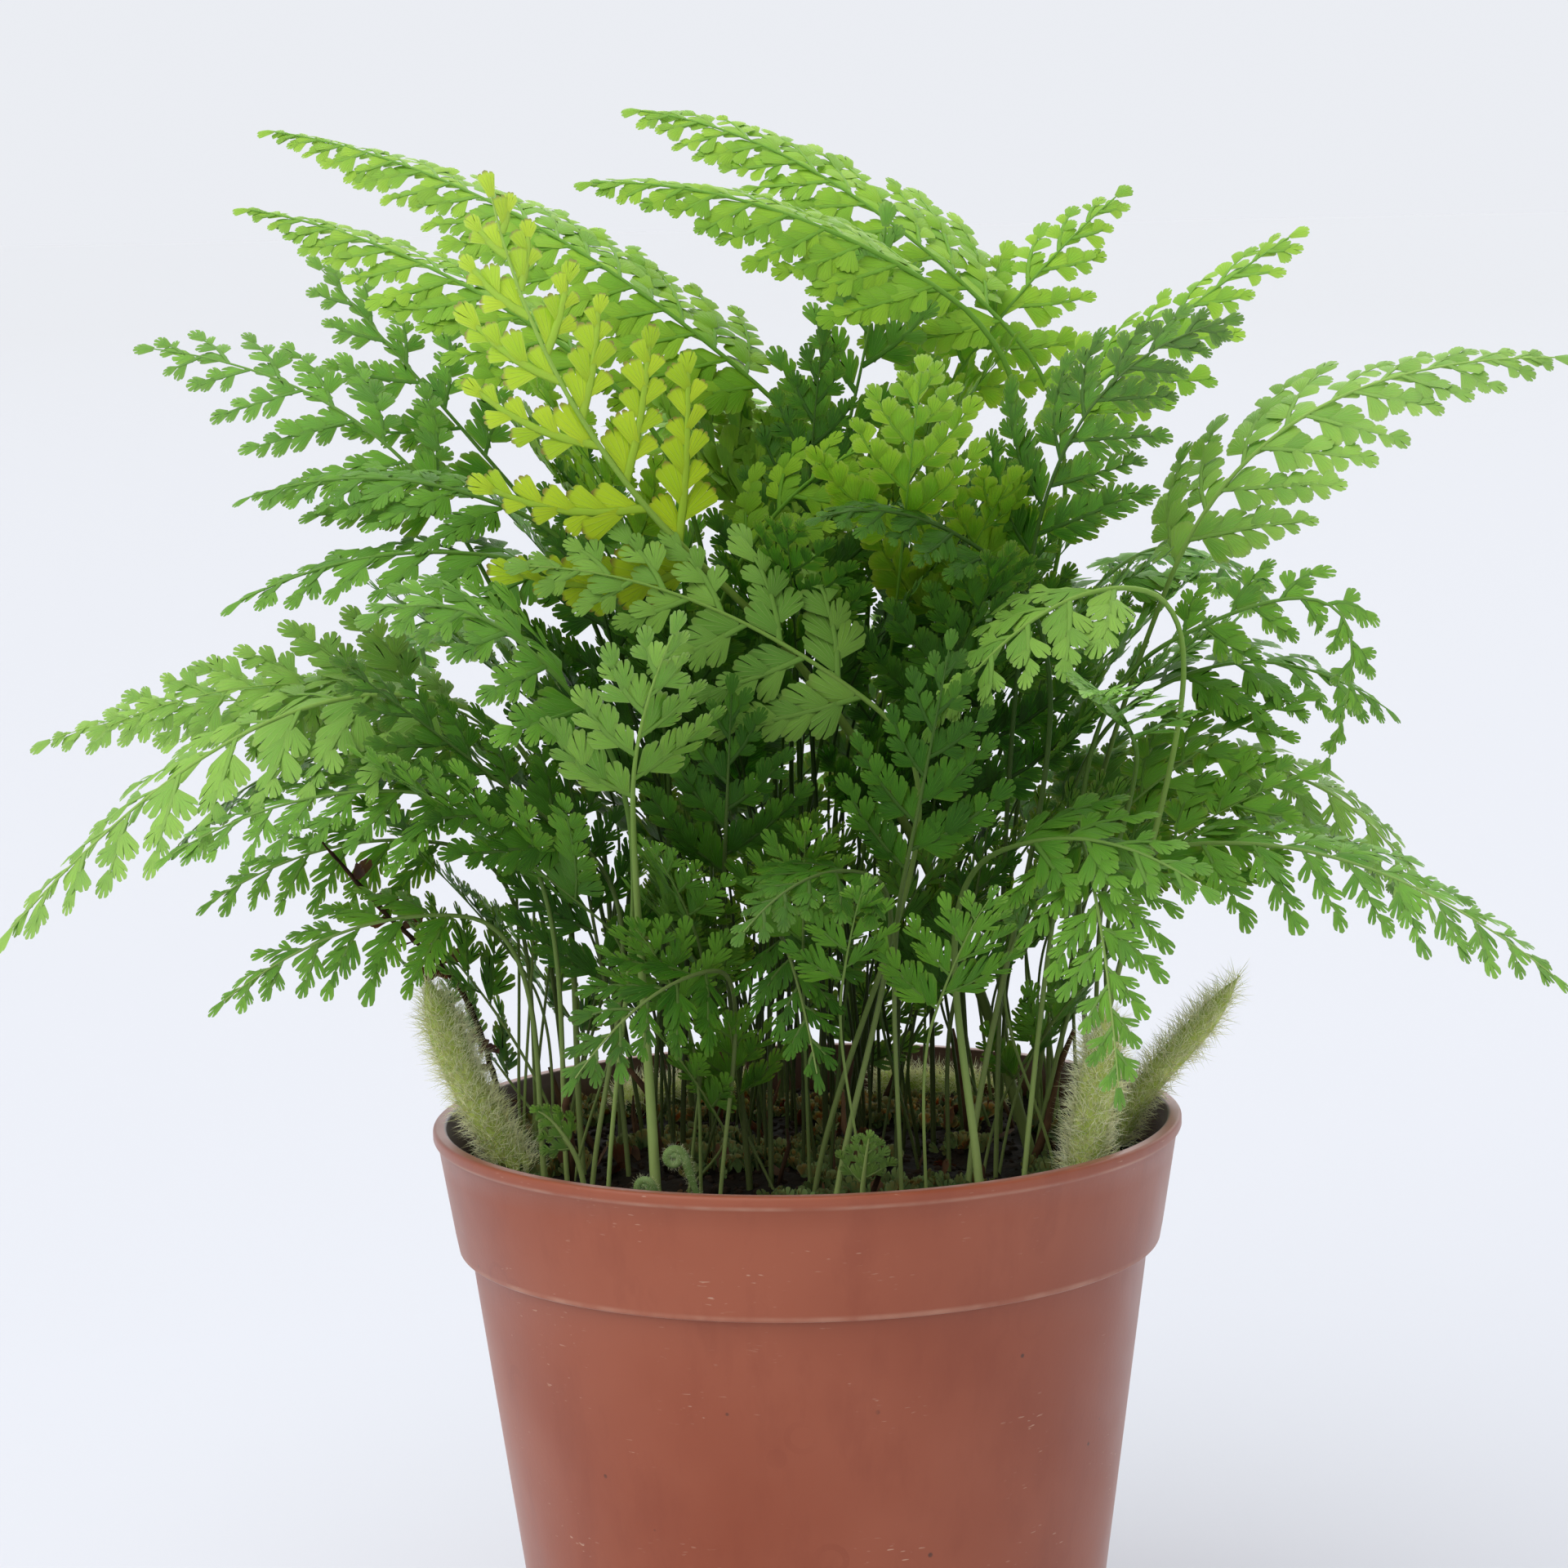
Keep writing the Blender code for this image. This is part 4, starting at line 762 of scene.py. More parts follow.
def makeThicket(name, plan, number, tree, drawers, material):
    rule = thicketRule
    dice = random.Random(rule["firstDice"] + number)
    first, reach = plan["around"]
    parts = []
    for k in range(plan["count"]):
        turn = math.radians(first + reach * ((k * rule["turn"] + number / (2 * math.pi)) % 1))
        way = Vector((math.cos(turn), math.sin(turn), 0))
        root = dice.uniform(*plan["root"]) * way
        aside = dice.uniform(-1, 1) * rule["aside"] * up.cross(way)
        foot = dice.uniform(*rule["footShare"]) * root + rule["outward"] * way + aside
        foot += dice.uniform(*plan["foot"]) * up
        tip = foot + dice.uniform(*plan["blade"]) * (plan["lean"] * way + plan["rise"] * up)
        stand = dict(root=root[:2], foot=foot, tip=tip, bow=(0, 0, plan.get("bow", rule["usualBow"])),
                     width=dice.uniform(*plan["width"]), style=plan["style"],
                     face=plan.get("face") or way + rule["faceUp"] * up,
                     look=dict(stalk=dice.uniform(*rule["stalk"]), rib=rule["rib"], wing=rule["wing"]))
        turned, rolled = (dice.uniform(-rule[play], rule[play]) for play in ("spin", "roll"))
        found = frondLine(stand, 0, turned, 1, rolled)
        seed = rule["firstSeed"] + rule["seedStep"] * number + k
        parts.append(growFrond(name, tree, drawers, material, stand, found, 1, seed))
    with bpy.context.temp_override(active_object=parts[0], selected_editable_objects=parts):
        bpy.ops.object.join()
    dress(parts[0])
    parts[0].name = parts[0].data.name = name
    print(name + ":", len(parts[0].data.polygons), "faces")


def makeFronds(materials):
    drawers = makeLeaflets()
    pinnaGroup = pinnaTree()
    tree = frondTree(pinnaGroup)
    for number, (name, row) in enumerate(fronds.items()):
        plan = planOf(frondParts, row)
        miss, size, found = matchedLine(name, plan)
        material = materials[plan.get("tint", slotOf[name])]
        seed = growthRule["firstSeed"] + growthRule["seedStep"] * number
        settle(growFrond(name + "Fine", tree, drawers, material, plan, found, size, seed), name)
        if miss > lineRule["nearCorner"]:
            print("frond", name, "does not lie on its solid:", round(miss / mm, 3), "mm")
    for number, (name, row) in enumerate(thicket.items()):
        plan = planOf(thicketParts, row)
        makeThicket(name, plan, number, tree, drawers, materials[plan["tint"]])
    for drawer in drawers.values():
        clearDrawer(drawer)
    bpy.data.node_groups.remove(tree)
    bpy.data.node_groups.remove(pinnaGroup)
    print("fronds:", len(fronds))


# pot: one turned wall with a deep collar

pot = dict(
    height=105 * mm, rim=60 * mm, collarFoot=56.4 * mm, collar=20 * mm, neck=54.5 * mm, base=43 * mm,
    wall=1.6 * mm, floor=2.2 * mm, edge=0.8 * mm, rimExtra=0.6 * mm, innerLedge=0.4 * mm, lip=1.9 * mm,
    lipStep=0.35 * mm, segments=176, drainRing=26 * mm, drainRadius=3.8 * mm, drains=6, drainSides=28,
    sole=6 * mm, wallRings=(6 * mm, 20 * mm, 40 * mm, 60 * mm, 78 * mm), underCollar=1.2 * mm,
    crease=0.5 * mm, creaseSide=0.55 * mm, collarRings=(3 * mm, 9 * mm, 14 * mm), lipCrease=0.4 * mm,
    lipBevel=0.15 * mm, rimRound=0.6 * mm, mouthRound=0.45 * mm, mouthRing=6 * mm,
    innerRings=(8 * mm, 2 * mm), ledgeDepth=1 * mm, sharpAbove=50)


def outerRadius(z):
    foot = pot["height"] - pot["collar"]
    return pot["base"] + (pot["neck"] - pot["base"]) * z / foot


def collarRadius(z):
    rise = (z - pot["height"] + pot["collar"]) / pot["collar"]
    return pot["collarFoot"] + (pot["rim"] - pot["lipStep"] - pot["collarFoot"]) * rise


def innerRadius(z):
    foot = pot["height"] - pot["collar"]
    if z <= foot:
        return outerRadius(z) - pot["wall"]
    rise = (z - foot) / pot["collar"]
    return pot["collarFoot"] - pot["wall"] + (pot["rim"] - pot["collarFoot"] - pot["rimExtra"]) * rise


def arc(x, z, radius, fromDegrees, toDegrees, steps):
    turns = [math.radians(fromDegrees + (toDegrees - fromDegrees) * k / steps) for k in range(steps + 1)]
    return [(x + radius * math.cos(a), z + radius * math.sin(a)) for a in turns]


def turned(name, profile, segments):        # the first and the last point of the profile lie on the axis
    verts = [(0, 0, profile[0][1])]
    for radius, z in profile[1:-1]:
        verts += ringOf(radius, z, segments)
    verts.append((0, 0, profile[-1][1]))
    faces = []
    for k in range(segments):
        ahead = (k + 1) % segments
        faces.append((0, 1 + ahead, 1 + k))
        for ring in range(len(profile) - 3):
            low = 1 + ring * segments
            faces.append((low + k, low + ahead, low + segments + ahead, low + segments + k))
        last = 1 + (len(profile) - 3) * segments
        faces.append((last + k, last + ahead, len(verts) - 1))
    return newPiece(name, verts, faces)


def potProfile():        # from the middle of the underside out, up, over the rim and down inside
    foot, height, edge, crease = pot["height"] - pot["collar"], pot["height"], pot["edge"], pot["crease"]
    lipFoot = height - pot["lip"]
    side, rimRound, mouthRound = pot["creaseSide"], pot["rimRound"], pot["mouthRound"]
    profile = [(0, 0), (pot["base"] - pot["sole"], 0)]
    profile += arc(pot["base"] - edge, edge, edge, -90, -6, 5)
    profile += [(outerRadius(z), z) for z in (*pot["wallRings"], foot - pot["underCollar"])]
    profile += arc(outerRadius(foot) + side, foot - side, crease, 180, 90, 4)
    profile += arc(pot["collarFoot"] - crease, foot + crease, crease, -90, 0, 5)
    profile += [(collarRadius(foot + rise), foot + rise) for rise in pot["collarRings"]]
    profile += [(collarRadius(lipFoot - pot["lipCrease"]), lipFoot - pot["lipCrease"])]
    profile += [(pot["rim"] - pot["lipBevel"], lipFoot), (pot["rim"], lipFoot + pot["lipStep"])]
    profile += arc(pot["rim"] - rimRound, height - rimRound, rimRound, 0, 90, 5)
    profile += arc(innerRadius(height) + mouthRound, height - mouthRound, mouthRound, 90, 180, 4)
    profile += [(innerRadius(height - pot["mouthRing"]), height - pot["mouthRing"])]
    profile += [(innerRadius(foot + rise), foot + rise) for rise in pot["innerRings"]]
    profile += [(innerRadius(foot) - pot["innerLedge"], foot - pot["ledgeDepth"])]
    return profile + [(innerRadius(pot["floor"]), pot["floor"]), (0, pot["floor"])]


def makePot(material):
    shell = turned("potShell", potProfile(), pot["segments"])
    reach = 2 * pot["floor"] * up
    drains = []
    for k in range(pot["drains"]):
        turn = 2 * math.pi * (k + 0.5) / pot["drains"]
        centre = pot["drainRing"] * Vector((math.cos(turn), math.sin(turn), 0))
        rod = tube([centre - reach, centre + reach], [pot["drainRadius"]] * 2, pot["drainSides"])
        drains.append(newPiece("drain", *rod))
    cutters = drawerOf("drains", drains)
    cut = shell.modifiers.new("Drains", "BOOLEAN")
    cut.operand_type = "COLLECTION"
    cut.collection = cutters
    bake(shell)
    clearDrawer(cutters)
    shell.data.shade_smooth()
    shell.data.set_sharp_from_angle(angle=math.radians(pot["sharpAbove"]))
    settle(shell, "pot", material)
    print("pot")


# soil: dark peat with crumbs, moss and scraps on it

soil = dict(top=96.5 * mm, mound=3.0 * mm, lumps=0.5 * mm, waves=(260, 230, 410), shift=1.3, fineLumps=0.6,
            gap=0.3 * mm, play=0.45 * mm, segments=120, rings=44, roughLumps=1.3 * mm, roughSize=9 * mm,
            grainLumps=0.5 * mm, grainSize=2.6 * mm, grainShift=Vector((7, 3, 1)))


def soilHeight(x, y):        # the solid's own top
    reach = (x * x + y * y) / (pot["rim"] * pot["rim"])
    across, deep, fine = soil["waves"]
    lumps = math.sin(across * x + soil["shift"]) * math.cos(deep * y)
    lumps += soil["fineLumps"] * math.sin(fine * (x + y))
    return soil["top"] + soil["mound"] * (1 - reach) + soil["lumps"] * lumps


def roughSoil(x, y):
    here = Vector((x, y, 0))
    rough = noise.noise(here / soil["roughSize"]) * soil["roughLumps"]
    rough += noise.noise(here / soil["grainSize"] + soil["grainShift"]) * soil["grainLumps"]
    return soilHeight(x, y) + rough


def makeSoil(material):
    foot = pot["height"] - pot["collar"]
    bottom = pot["floor"] + soil["gap"]
    edgeRadius = innerRadius(soil["top"]) - soil["play"]
    profile = [(0, bottom), (innerRadius(bottom) - soil["play"], bottom),
               (innerRadius(foot) - pot["innerLedge"] - soil["play"], foot)]
    profile += [(edgeRadius * (1 - k / soil["rings"]), soil["top"]) for k in range(soil["rings"])]
    profile += [(0, soil["top"])]
    peat = turned("peat", profile, soil["segments"])
    for corner in peat.data.vertices:
        if corner.co.z >= soil["top"] - hairsBreadth:
            corner.co.z = roughSoil(corner.co.x, corner.co.y)
    settle(peat, "soil", material)
    print("soil")
    return peat


# one node tree sows what is small and many over a surface: hairs, crumbs, moss and scraps

sowInputs = {"Geometry": ["Geometry"], "Object": ["Shape"], "Vector": ["Comb"], "Material": ["Material"],
             "Float": ["Density", "Smallest", "Largest", "Lean", "Sink", "Patch Scale", "Patch Cut",
                       "Facing Up", "Reach"], "Int": ["Seed"]}
usualSowing = {"Lean": 0.3, "Comb": (0.0, 0.0, 0.0), "Sink": 0.0, "Patch Scale": 1.0, "Patch Cut": -1.0,
               "Facing Up": -2.0, "Reach": 1.0}


def sowTree():
    tree, given, result = newTree("sow", sowInputs)
    seed, index = given["Seed"], flow("GeometryNodeInputIndex")
    here = flow("GeometryNodeInputPosition")
    x, y, _ = split3(here)
    patches = calc("GREATER_THAN", noiseAt(here, given["Patch Scale"], 1), given["Patch Cut"])
    level = calc("GREATER_THAN", split3(flow("GeometryNodeInputNormal"))[2], given["Facing Up"])
    near = calc("LESS_THAN", levelLength(x, y), given["Reach"])
    spots = flows("GeometryNodeDistributePointsOnFaces", {
        "Mesh": given["Geometry"], 4: given["Density"] * patches * level * near, "Seed": seed})
    loose = join3(*(randomBetween(-1, 1, index, seed + k) for k in range(3)))
    aim = spots["Normal"] + given["Comb"] + loose * given["Lean"]
    rotation = flow("FunctionNodeAlignRotationToVector", {"Vector": aim}, axis="Z")
    spin = join3(0, 0, randomBetween(0, 2 * math.pi, index, seed + 4))
    spin = flow("FunctionNodeEulerToRotation", {"Euler": spin})
    rotation = flow("FunctionNodeRotateRotation", {0: rotation, 1: spin}, rotation_space="LOCAL")
    points = geo("SetPosition", spots["Points"], {"Offset": spots["Normal"] * (given["Sink"] * -1)})
    sown = geo("InstanceOnPoints", points, {
        "Instance": geo("ObjectInfo", given["Shape"], output="Geometry"), "Rotation": rotation,
        "Scale": randomBetween(given["Smallest"], given["Largest"], index, seed + 5)})
    sown = store(sown, "tone", randomBetween(0, 1, index, seed + 6), "INSTANCE")
    sown = geo("SetMaterial", geo("RealizeInstances", sown), {"Material": given["Material"]})
    plug(sown, result["Geometry"])
    return tree


def sow(tree, name, ground, slot, **values):        # a new piece, sown over the ground's surface
    piece = linked(bpy.data.objects.new(name, ground.data.copy()))
    growWith(piece, tree, {**usualSowing, **values})
    dress(piece)
    print(name + ":", len(piece.data.polygons), "faces")


hair = dict(radius=0.012, rings=((0, -0.05), (0.05, 0.45)), corners=(0, 2.1, 4.2), tip=(0.20, 0.03, 1.0),
            faces=((2, 1, 0), (0, 1, 4, 3), (1, 2, 5, 4), (2, 0, 3, 5), (3, 4, 6), (4, 5, 6), (5, 3, 6)))
stick = dict(path=((0, 0, 0), (0.03, 0.02, 0.35), (-0.02, 0.05, 0.7), (0.06, 0.02, 1.0)),
             radii=(0.035, 0.03, 0.028, 0.015), sides=5)
crumb = dict(play=(0.75, 1.25), seed=7)


def makeShapes():        # what the sowing draws from, each one unit high along +Z
    radius = hair["radius"]
    verts = [(radius * math.cos(turn) + bend, radius * math.sin(turn), height)
             for bend, height in hair["rings"] for turn in hair["corners"]]
    shapes = {"hair": newPiece("hair", verts + [hair["tip"]], hair["faces"])}
    for name, style, k in (("tuft", "young", 2), ("scrap", "lobed", 1)):
        shapes[name] = makeLeaflet(name, *leaflets[style][k])
        shapes[name].data.transform(Matrix.Rotation(-math.pi / 2, 4, "Y"))
    dice = random.Random(crumb["seed"])
    body = bmesh.new()
    bmesh.ops.create_icosphere(body, subdivisions=1, radius=0.5)
    for corner in body.verts:
        corner.co *= dice.uniform(*crumb["play"])
    faces = [[v.index for v in face.verts] for face in body.faces]
    shapes["crumb"] = newPiece("crumb", [v.co for v in body.verts], faces)
    body.free()
    path = [Vector(point) for point in stick["path"]]
    shapes["stick"] = newPiece("stick", *tube(path, stick["radii"], stick["sides"]))
    return shapes


litter = {
    # name of the piece: slot, shape, its material, and how it is sown
    "peatCrumbs": ("peat_soil", "crumb", "peat", {
        "Density": 2.2e5, "Smallest": 0.5 * mm, "Largest": 1.8 * mm, "Lean": 1.0, "Reach": 56 * mm,
        "Seed": 3}),
    "mossTufts": ("peat_soil", "tuft", "moss", {
        "Density": 9e5, "Smallest": 1.4 * mm, "Largest": 3.4 * mm, "Lean": 0.7, "Patch Scale": 48.0,
        "Patch Cut": 0.53, "Reach": 55 * mm, "Seed": 4}),
    "leafScraps": ("dead_stalk", "scrap", "deadLeaf", {
        "Density": 8e3, "Smallest": 2.5 * mm, "Largest": 5 * mm, "Lean": 1.2, "Reach": 52 * mm, "Seed": 5}),
    "deadStubs": ("dead_stalk", "stick", "deadLeaf", {
        "Density": 4.5e3, "Smallest": 9 * mm, "Largest": 24 * mm, "Lean": 0.3, "Sink": 1.5 * mm,
        "Reach": 44 * mm, "Seed": 8})}

litterFacing = 0.3        # litter lies only where the soil faces up at least so much


def makeLitter(tree, shapes, ground, materials):
    for name, (slot, shape, material, values) in litter.items():
        values = {"Shape": shapes[shape], "Material": materials[material], "Facing Up": litterFacing,
                  **values}
        sow(tree, name, ground, slot, **values)


# rhizomes, fiddleheads and the dead twig: the solids' own shapes, rounded, with what grows on them

rhizomeForm = dict(coreShare=0.78, lumps=0.03, lumpSize=2.5 * mm, radius=4 * mm, comb=0.8)
coilForm = dict(height=5 * mm, tightness=0.74, swelling=0.45 * mm)
barkForm = dict(lumps=0.35, lumpsEachMetre=900)
grown = {
    # how the nodes' names start: names of both pieces, rounding, both materials, shape sown and first seed,
    # and how it is sown
    "rhizome": ("{}Core", "{}Fur", 3, "furCore", "furHair", "hair", 50,
                {"Density": 9e6, "Smallest": 0.9 * mm, "Largest": 4.2 * mm, "Lean": 1.1}),
    "fiddlehead": ("{}Coil", "{}Down", 2, "fiddleStalk", "furHair", "hair", 70,
                   {"Density": 9e6, "Smallest": 0.3 * mm, "Largest": 0.9 * mm, "Lean": 0.5}),
    "dead_twig": ("deadTwigBark", "deadTwigLeaves", 3, "deadLeaf", "deadLeaf", "scrap", 90,
                  {"Density": 9e4, "Smallest": 2 * mm, "Largest": 4.5 * mm, "Lean": 0.9})}


def cornersOf(piece):        # its corners with their normals, which moving a corner then leaves as they are
    return [(corner, corner.normal.copy()) for corner in piece.data.vertices]


def thinCore(core):        # makes room for the fur
    for corner, normal in cornersOf(core):
        lumps = rhizomeForm["lumps"] * noise.noise(corner.co / rhizomeForm["lumpSize"])
        corner.co -= normal * (1 - rhizomeForm["coreShare"] + lumps) * rhizomeForm["radius"]


def tightenCoil(coil):
    top = max(v.co.z for v in coil.data.vertices)
    rolled = [v.co for v in coil.data.vertices if v.co.z > top - coilForm["height"]]
    centre = sum(rolled, Vector()) / len(rolled)
    for corner, normal in cornersOf(coil):
        near = min(1, max(0, 2 - (top - corner.co.z) / coilForm["height"]))
        corner.co += near * (coilForm["tightness"] - 1) * (corner.co - centre)
        corner.co += near * coilForm["swelling"] * normal


def roughenBark(bark):
    for corner, normal in cornersOf(bark):
        corner.co += normal * noise.noise(corner.co * barkForm["lumpsEachMetre"]) * barkForm["lumps"] * mm


def makeGrown(tree, shapes, materials):
    reshape = {"rhizome": thinCore, "fiddlehead": tightenCoil, "dead_twig": roughenBark}
    for kind, (coreName, coverName, levels, coreFinish, coverFinish, shape, seed, values) in grown.items():
        for number, node in enumerate(n for n in slotOf if n.startswith(kind)):
            core = mergedCopy(node, coreName.format(node), levels)
            reshape[kind](core)
            settle(core, node, materials[coreFinish])
            upright = kind == "rhizome" and "lying" not in node
            sow(tree, coverName.format(node), core, slotOf[node], Shape=shapes[shape],
                Comb=(0.0, 0.0, rhizomeForm["comb"] if upright else 0.0), Material=materials[coverFinish],
                Seed=seed + number, **values)


# materials

def newMaterial(name, settings):        # what is the same all over stays on the shader's own sockets
    material = bpy.data.materials.new(name)
    material.use_nodes = True
    bench["tree"] = material.node_tree
    shader = material.node_tree.nodes["Principled BSDF"].inputs
    for key, value in settings.items():
        shader[key].default_value = value
    return material, shader, flow("ShaderNodeTexCoord", output="Object")


def mix(share, low, high):
    low, high = (colour if isinstance(colour, Flow) else (*colour, 1) for colour in (low, high))
    return flow("ShaderNodeMix", {0: share, 6: low, 7: high}, 2, data_type="RGBA")


def marks(place, scale, detail, low, high, toLow=0, toHigh=1, roughness=0.5):        # noise, cut to a range
    return remap(noiseAt(place, scale, detail, roughness), low, high, toLow, toHigh)


def bump(height, distance, strength=1.0):
    return flow("ShaderNodeBump", {"Height": height, "Distance": distance, "Strength": strength})


def attribute(name):
    return flow("ShaderNodeAttribute", output="Fac", attribute_name=name)


leafLooks = {
    # young and old colour, vein, stalk high up, brown of the margin, how much of it
    "leaf_lime": ((0.39, 0.54, 0.014), (0.26, 0.44, 0.010), (0.38, 0.54, 0.06), (0.22, 0.36, 0.05),
                  (0.16, 0.10, 0.02), 0.9),
    "leaf_vivid": ((0.225, 0.42, 0.014), (0.085, 0.25, 0.008), (0.20, 0.40, 0.03), (0.11, 0.26, 0.02),
                   (0.20, 0.20, 0.03), 0.12),
    "leaf_mid": ((0.122, 0.31, 0.022), (0.042, 0.15, 0.013), (0.15, 0.33, 0.045), (0.10, 0.22, 0.028),
                 (0.16, 0.12, 0.03), 0.10),
    "leaf_pale": ((0.21, 0.40, 0.055), (0.095, 0.24, 0.030), (0.26, 0.44, 0.095), (0.20, 0.34, 0.06),
                  (0.20, 0.14, 0.04), 0.15),
    "leaf_dark": ((0.055, 0.175, 0.010), (0.015, 0.062, 0.005), (0.08, 0.21, 0.024), (0.042, 0.10, 0.014),
                  (0.10, 0.08, 0.03), 0.05)}
leafShader = {"Subsurface Weight": 0.12, "Subsurface Radius": (0.5, 1.0, 0.15), "Subsurface Scale": 1.0 * mm,
              "Specular IOR Level": 0.10}
leafFinish = dict(
    # the second colour on the next line is painted shade for the feet of stalks near the pot's axis
    stalkFoot=(0.25, 0.32, 0.10), innerFoot=(0.06, 0.075, 0.022), footZ=100 * mm, highZ=175 * mm,
    inner=24 * mm, outer=44 * mm, shade=(0.045, 0.060, 0.022), shadeTop=122 * mm, shadeShare=0.8,
    toneShare=0.55, cloudSize=45, cloudShare=0.6, toneRange=(0.1, 0.95), veinTurns=5.5, veinFoot=0.02,
    veinEdge=(0.13, 0.03), veinEnds=(1.05, 0.6), veinShare=0.6, blotchSize=420, blotchShare=0.16,
    margin=(0.93, 1.04),
    # around the core of the plant the leaves get painted shade, and further out painted light
    core=(0, 14 * mm, 152 * mm), coreInner=36 * mm, coreOuter=105 * mm, coreShade=(0.385, 1.44),
    # the pale green further along is painted light for leaves far from the core
    underLight=1.22, underGrey=(0.014, 0.018, 0.016), outerPale=(0.42, 0.56, 0.26), paleFrom=72 * mm,
    paleTo=118 * mm, paleShare=0.19, roughness=(160, 2, 0.3, 0.7, 0.38, 0.58), reliefSize=900,
    reliefShare=0.5, reliefDepth=0.15 * mm, reliefStrength=0.7)


def leafMaterial(slot):
    young, old, vein, stalk, brown, browning = leafLooks[slot]
    finish = leafFinish
    material, shader, here = newMaterial(slot + "_leaf", leafShader)
    x, y, z = split3(here)
    u, v, _ = split3(flow("ShaderNodeUVMap", uv_map="leafMap"))
    v = v - 0.5
    clouds = noiseAt(here, finish["cloudSize"]) * finish["cloudShare"]
    tone = attribute("tone") * finish["toneShare"] + clouds
    colour = mix(remap(tone, *finish["toneRange"]), old, young)
    reach = levelLength(u, v)
    wave = calc("PINGPONG", calc("ARCTAN2", v, u + finish["veinFoot"]) * finish["veinTurns"], 0.5)
    veins = remap(wave, *finish["veinEdge"]) * remap(reach, *finish["veinEnds"]) * finish["veinShare"]
    colour = mix(veins, colour, vein)
    colour = mix(attribute("under"), colour, colour * finish["underLight"] + finish["underGrey"])
    blotched = reach + noiseAt(here, finish["blotchSize"]) * finish["blotchShare"]
    colour = mix(remap(blotched, *finish["margin"]) * browning, colour, brown)
    low = remap(z, finish["shadeTop"], finish["footZ"], 0, finish["shadeShare"])
    colour = mix(low, colour, finish["shade"])
    # painted shade: stalks nearer the pot's axis get a darker foot colour than those further out
    outward = remap(levelLength(x, y), finish["inner"], finish["outer"])
    foot = mix(outward, finish["innerFoot"], finish["stalkFoot"])
    stem = mix(remap(z, finish["footZ"], finish["highZ"]), foot, stalk)
    colour = mix(attribute("rib"), colour, stem)
    # painted shade and painted light: leaves are darkened near the core of the plant and lightened further
    # out
    fromCore = calcVector("DISTANCE", here, finish["core"])
    colour = colour * remap(fromCore, finish["coreInner"], finish["coreOuter"], *finish["coreShade"])
    # painted light: further from the core, leaves are mixed towards a pale, washed-out green
    pale = remap(fromCore, finish["paleFrom"], finish["paleTo"], 0, finish["paleShare"])
    plug(mix(pale, colour, finish["outerPale"]), shader["Base Color"])
    plug(marks(here, *finish["roughness"]), shader["Roughness"])
    relief = noiseAt(here, finish["reliefSize"]) * finish["reliefShare"] - veins
    plug(bump(relief, finish["reliefDepth"], finish["reliefStrength"]), shader["Normal"])
    return material


potShader = {"Specular IOR Level": 0.42, "Sheen Weight": 0.16, "Sheen Roughness": 0.35,
             "Subsurface Weight": 0.05, "Subsurface Scale": 1 * mm}
potFinish = dict(
    clay=(0.285, 0.064, 0.026), worn=(0.345, 0.092, 0.044), dark=(0.225, 0.045, 0.019),
    # the near-black brown at the end of the next line is painted shade for the inside of the pot
    # the pale dust colour on the next line is also a painted highlight along the pot's edges
    dusty=(0.56, 0.33, 0.23), speck=(0.06, 0.03, 0.02), soiled=(0.040, 0.020, 0.012),
    # noise: size, detail, from where to where it counts, and what it gives between
    clouds=(22, 4, 0.35, 0.68), stains=(1.0, 5, 0.50, 0.66, 0, 1, 0.65), dropPatches=(30, 2, 0.55, 0.66),
    speckPatches=(55, 2, 0.56, 0.60), scratches=(1.0, 1, 0.70, 0.76), scuffPatches=(70, 2, 0.55, 0.66),
    wornPatches=(140, 3, 0.35, 0.65, 0.08, 0.42), roughness=(38, 3, 0.3, 0.7, 0.30, 0.46),
    stainStretch=(130, 130, 45), scratchStretch=(500, 500, 2600), stainShare=0.28,
    drops=95.0, dropRing=(0.30, 0.035), dropShare=0.30, specks=210.0, speckEdge=(0.10, 0.06), speckShare=0.8,
    # lines along the collar's foot and the lip step, where wear and a painted highlight go
    collarEdge=(0.4 * mm, 0.7 * mm, 0.25 * mm), lipEdge=(0, 0.5 * mm, 0.15 * mm), scuffShare=0.8,
    # where the inside of the pot gets its painted shade
    insideSlope=0.13, insideRadius=44.7 * mm, insideEdge=-0.4 * mm, soiledFrom=84 * mm, soiledTo=88 * mm,
    soiledShare=0.85, wornRoughness=0.2, grains=((1500, 0.4), (60, 1.2)), grainDepth=0.06 * mm,
    grainStrength=0.5)


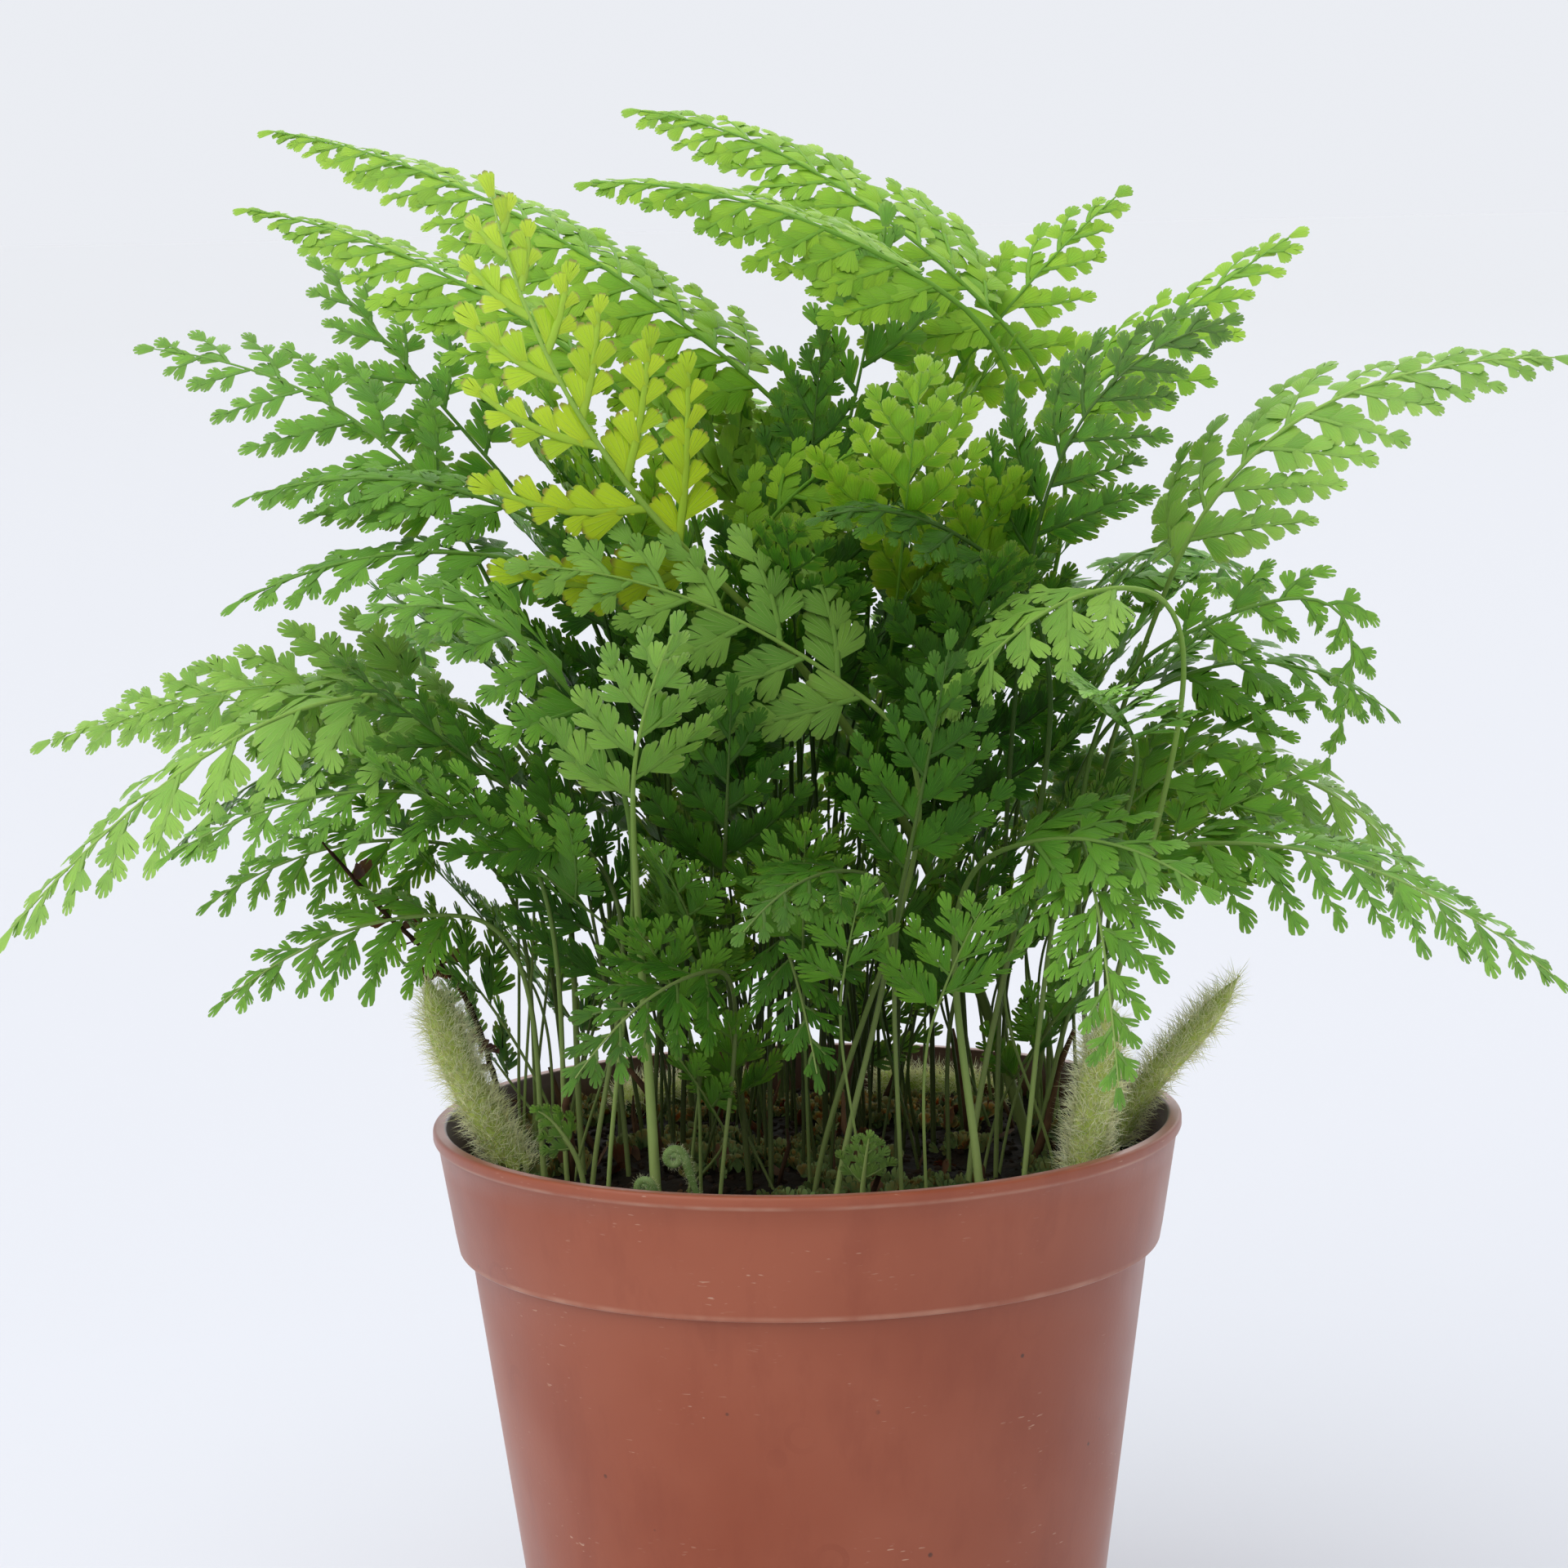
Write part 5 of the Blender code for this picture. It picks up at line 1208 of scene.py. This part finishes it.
def potMaterial():
    finish = potFinish
    material, shader, here = newMaterial("terracottaPlastic", potShader)
    x, y, z = split3(here)

    def stretched(name):
        return join3(*(part * scale for part, scale in zip((x, y, z), finish[name])))

    def spots(name):
        return flow("ShaderNodeTexVoronoi", {"Vector": here, "Scale": finish[name]}, feature="F1")

    def edgeAt(height, above, far, near):
        return remap(calc("ABSOLUTE", z - (height + above)), far, near)

    colour = mix(marks(here, *finish["clouds"]), finish["clay"], finish["worn"])
    stains = marks(stretched("stainStretch"), *finish["stains"])
    colour = mix(stains * finish["stainShare"], colour, finish["dark"])
    rings = calc("COMPARE", spots("drops"), *finish["dropRing"]) * marks(here, *finish["dropPatches"])
    colour = mix(rings * finish["dropShare"], colour, finish["dark"])
    dirt = remap(spots("specks"), *finish["speckEdge"]) * marks(here, *finish["speckPatches"])
    colour = mix(dirt * finish["speckShare"], colour, finish["speck"])
    scratches = marks(stretched("scratchStretch"), *finish["scratches"])
    scuffs = scratches * marks(here, *finish["scuffPatches"])
    # painted highlight and wear: lighter lines, in patches, just above the collar's foot and at the lip
    # step, joined with the real scuffs
    edges = calc("MAXIMUM", edgeAt(pot["height"] - pot["collar"], *finish["collarEdge"]),
                 edgeAt(pot["height"] - pot["lip"], *finish["lipEdge"]))
    wearAndHighlight = calc("MAXIMUM", edges * marks(here, *finish["wornPatches"]), scuffs * finish["scuffShare"])
    colour = mix(wearAndHighlight, colour, finish["dusty"])
    # painted shade: the inner wall above the soil, the inner half of the rim's top and a thin band of the
    # neck just under the collar go towards the near-black brown
    inside = levelLength(x, y) - (z * finish["insideSlope"] + finish["insideRadius"])
    inside = remap(inside, 0.0, finish["insideEdge"]) * remap(z, finish["soiledFrom"], finish["soiledTo"])
    plug(mix(inside * finish["soiledShare"], colour, finish["soiled"]), shader["Base Color"])
    plug(marks(here, *finish["roughness"]) + wearAndHighlight * finish["wornRoughness"], shader["Roughness"])
    fine, broad = (noiseAt(here, size) * share for size, share in finish["grains"])
    plug(bump(fine + broad - scuffs, finish["grainDepth"], finish["grainStrength"]), shader["Normal"])
    return material


grainLooks = {
    # name: two colours, size of the pattern, roughness, subsurface, bump in millimetres
    "peat": ((0.005, 0.0035, 0.002), (0.024, 0.014, 0.008), 320, 0.95, 0.0, 0.5),
    "moss": ((0.016, 0.034, 0.008), (0.11, 0.17, 0.050), 110, 0.75, 0.15, 0.1),
    "deadLeaf": ((0.026, 0.013, 0.007), (0.095, 0.050, 0.023), 260, 0.80, 0.05, 0.15),
    "furCore": ((0.40, 0.50, 0.10), (0.74, 0.78, 0.32), 300, 0.90, 0.15, 0.3),
    "furHair": ((0.88, 0.90, 0.42), (0.99, 0.98, 0.70), 120, 0.60, 0.10, 0.0),
    "fiddleStalk": ((0.13, 0.21, 0.06), (0.30, 0.40, 0.17), 420, 0.55, 0.20, 0.1)}
grainRule = dict(detail=3, noiseRoughness=0.65, toneShare=0.4, low=0.42, high=0.95, smoother=0.1,
                 rougher=0.05, roughRange=(0.3, 0.7), specular=0.12)


def grainMaterial(name):
    low, high, size, rough, glow, depth = grainLooks[name]
    rule = grainRule
    material, shader, here = newMaterial(name, {"Subsurface Weight": glow, "Subsurface Scale": 1 * mm,
                                                "Specular IOR Level": grainRule["specular"]})
    grain = noiseAt(here, size, rule["detail"], rule["noiseRoughness"])
    share = remap(attribute("tone") * rule["toneShare"] + grain, rule["low"], rule["high"])
    plug(mix(share, low, high), shader["Base Color"])
    ends = rough - rule["smoother"], min(1.0, rough + rule["rougher"])
    plug(remap(grain, *rule["roughRange"], *ends), shader["Roughness"])
    if depth:
        plug(bump(grain, depth * mm), shader["Normal"])
    return material


# floor, which isn't part of the object

stage = dict(radius=40.0, sides=64, colour=(0.636, 0.649, 0.690), near=(0.676, 0.694, 0.760),
             nearRadius=0.3, farRadius=9.0, fading=0.5,
             shader={"Roughness": 0.9, "Specular IOR Level": 0.05})


def makeStage():
    floor = newPiece("paleFloor", ringOf(stage["radius"], 0, stage["sides"]), [tuple(range(stage["sides"]))])
    material, shader, here = newMaterial("palePaper", stage["shader"])
    outward = remap(calcVector("LENGTH", here), stage["nearRadius"], stage["farRadius"])
    plug(mix(calc("POWER", outward, stage["fading"]), stage["near"], stage["colour"]), shader["Base Color"])
    floor.data.materials.append(material)


# everything in its order

aimCamera()
hangLights()
makeStage()
leafMaterials = {slot: leafMaterial(slot) for slot in leafLooks}
grains = {name: grainMaterial(name) for name in grainLooks}
makePot(potMaterial())
ground = makeSoil(grains["peat"])
makeFronds(leafMaterials)
shapes = makeShapes()
sowing = sowTree()
makeLitter(sowing, shapes, ground, grains)
makeGrown(sowing, shapes, grains)
for shape in shapes.values():
    bpy.data.objects.remove(shape)
bpy.data.node_groups.remove(sowing)

total = sum(len(p.vertices) - 2 for o in bpy.data.objects if o.type == "MESH" and "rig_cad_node" not in o
            for p in o.data.polygons)
print("triangles in all:", total)
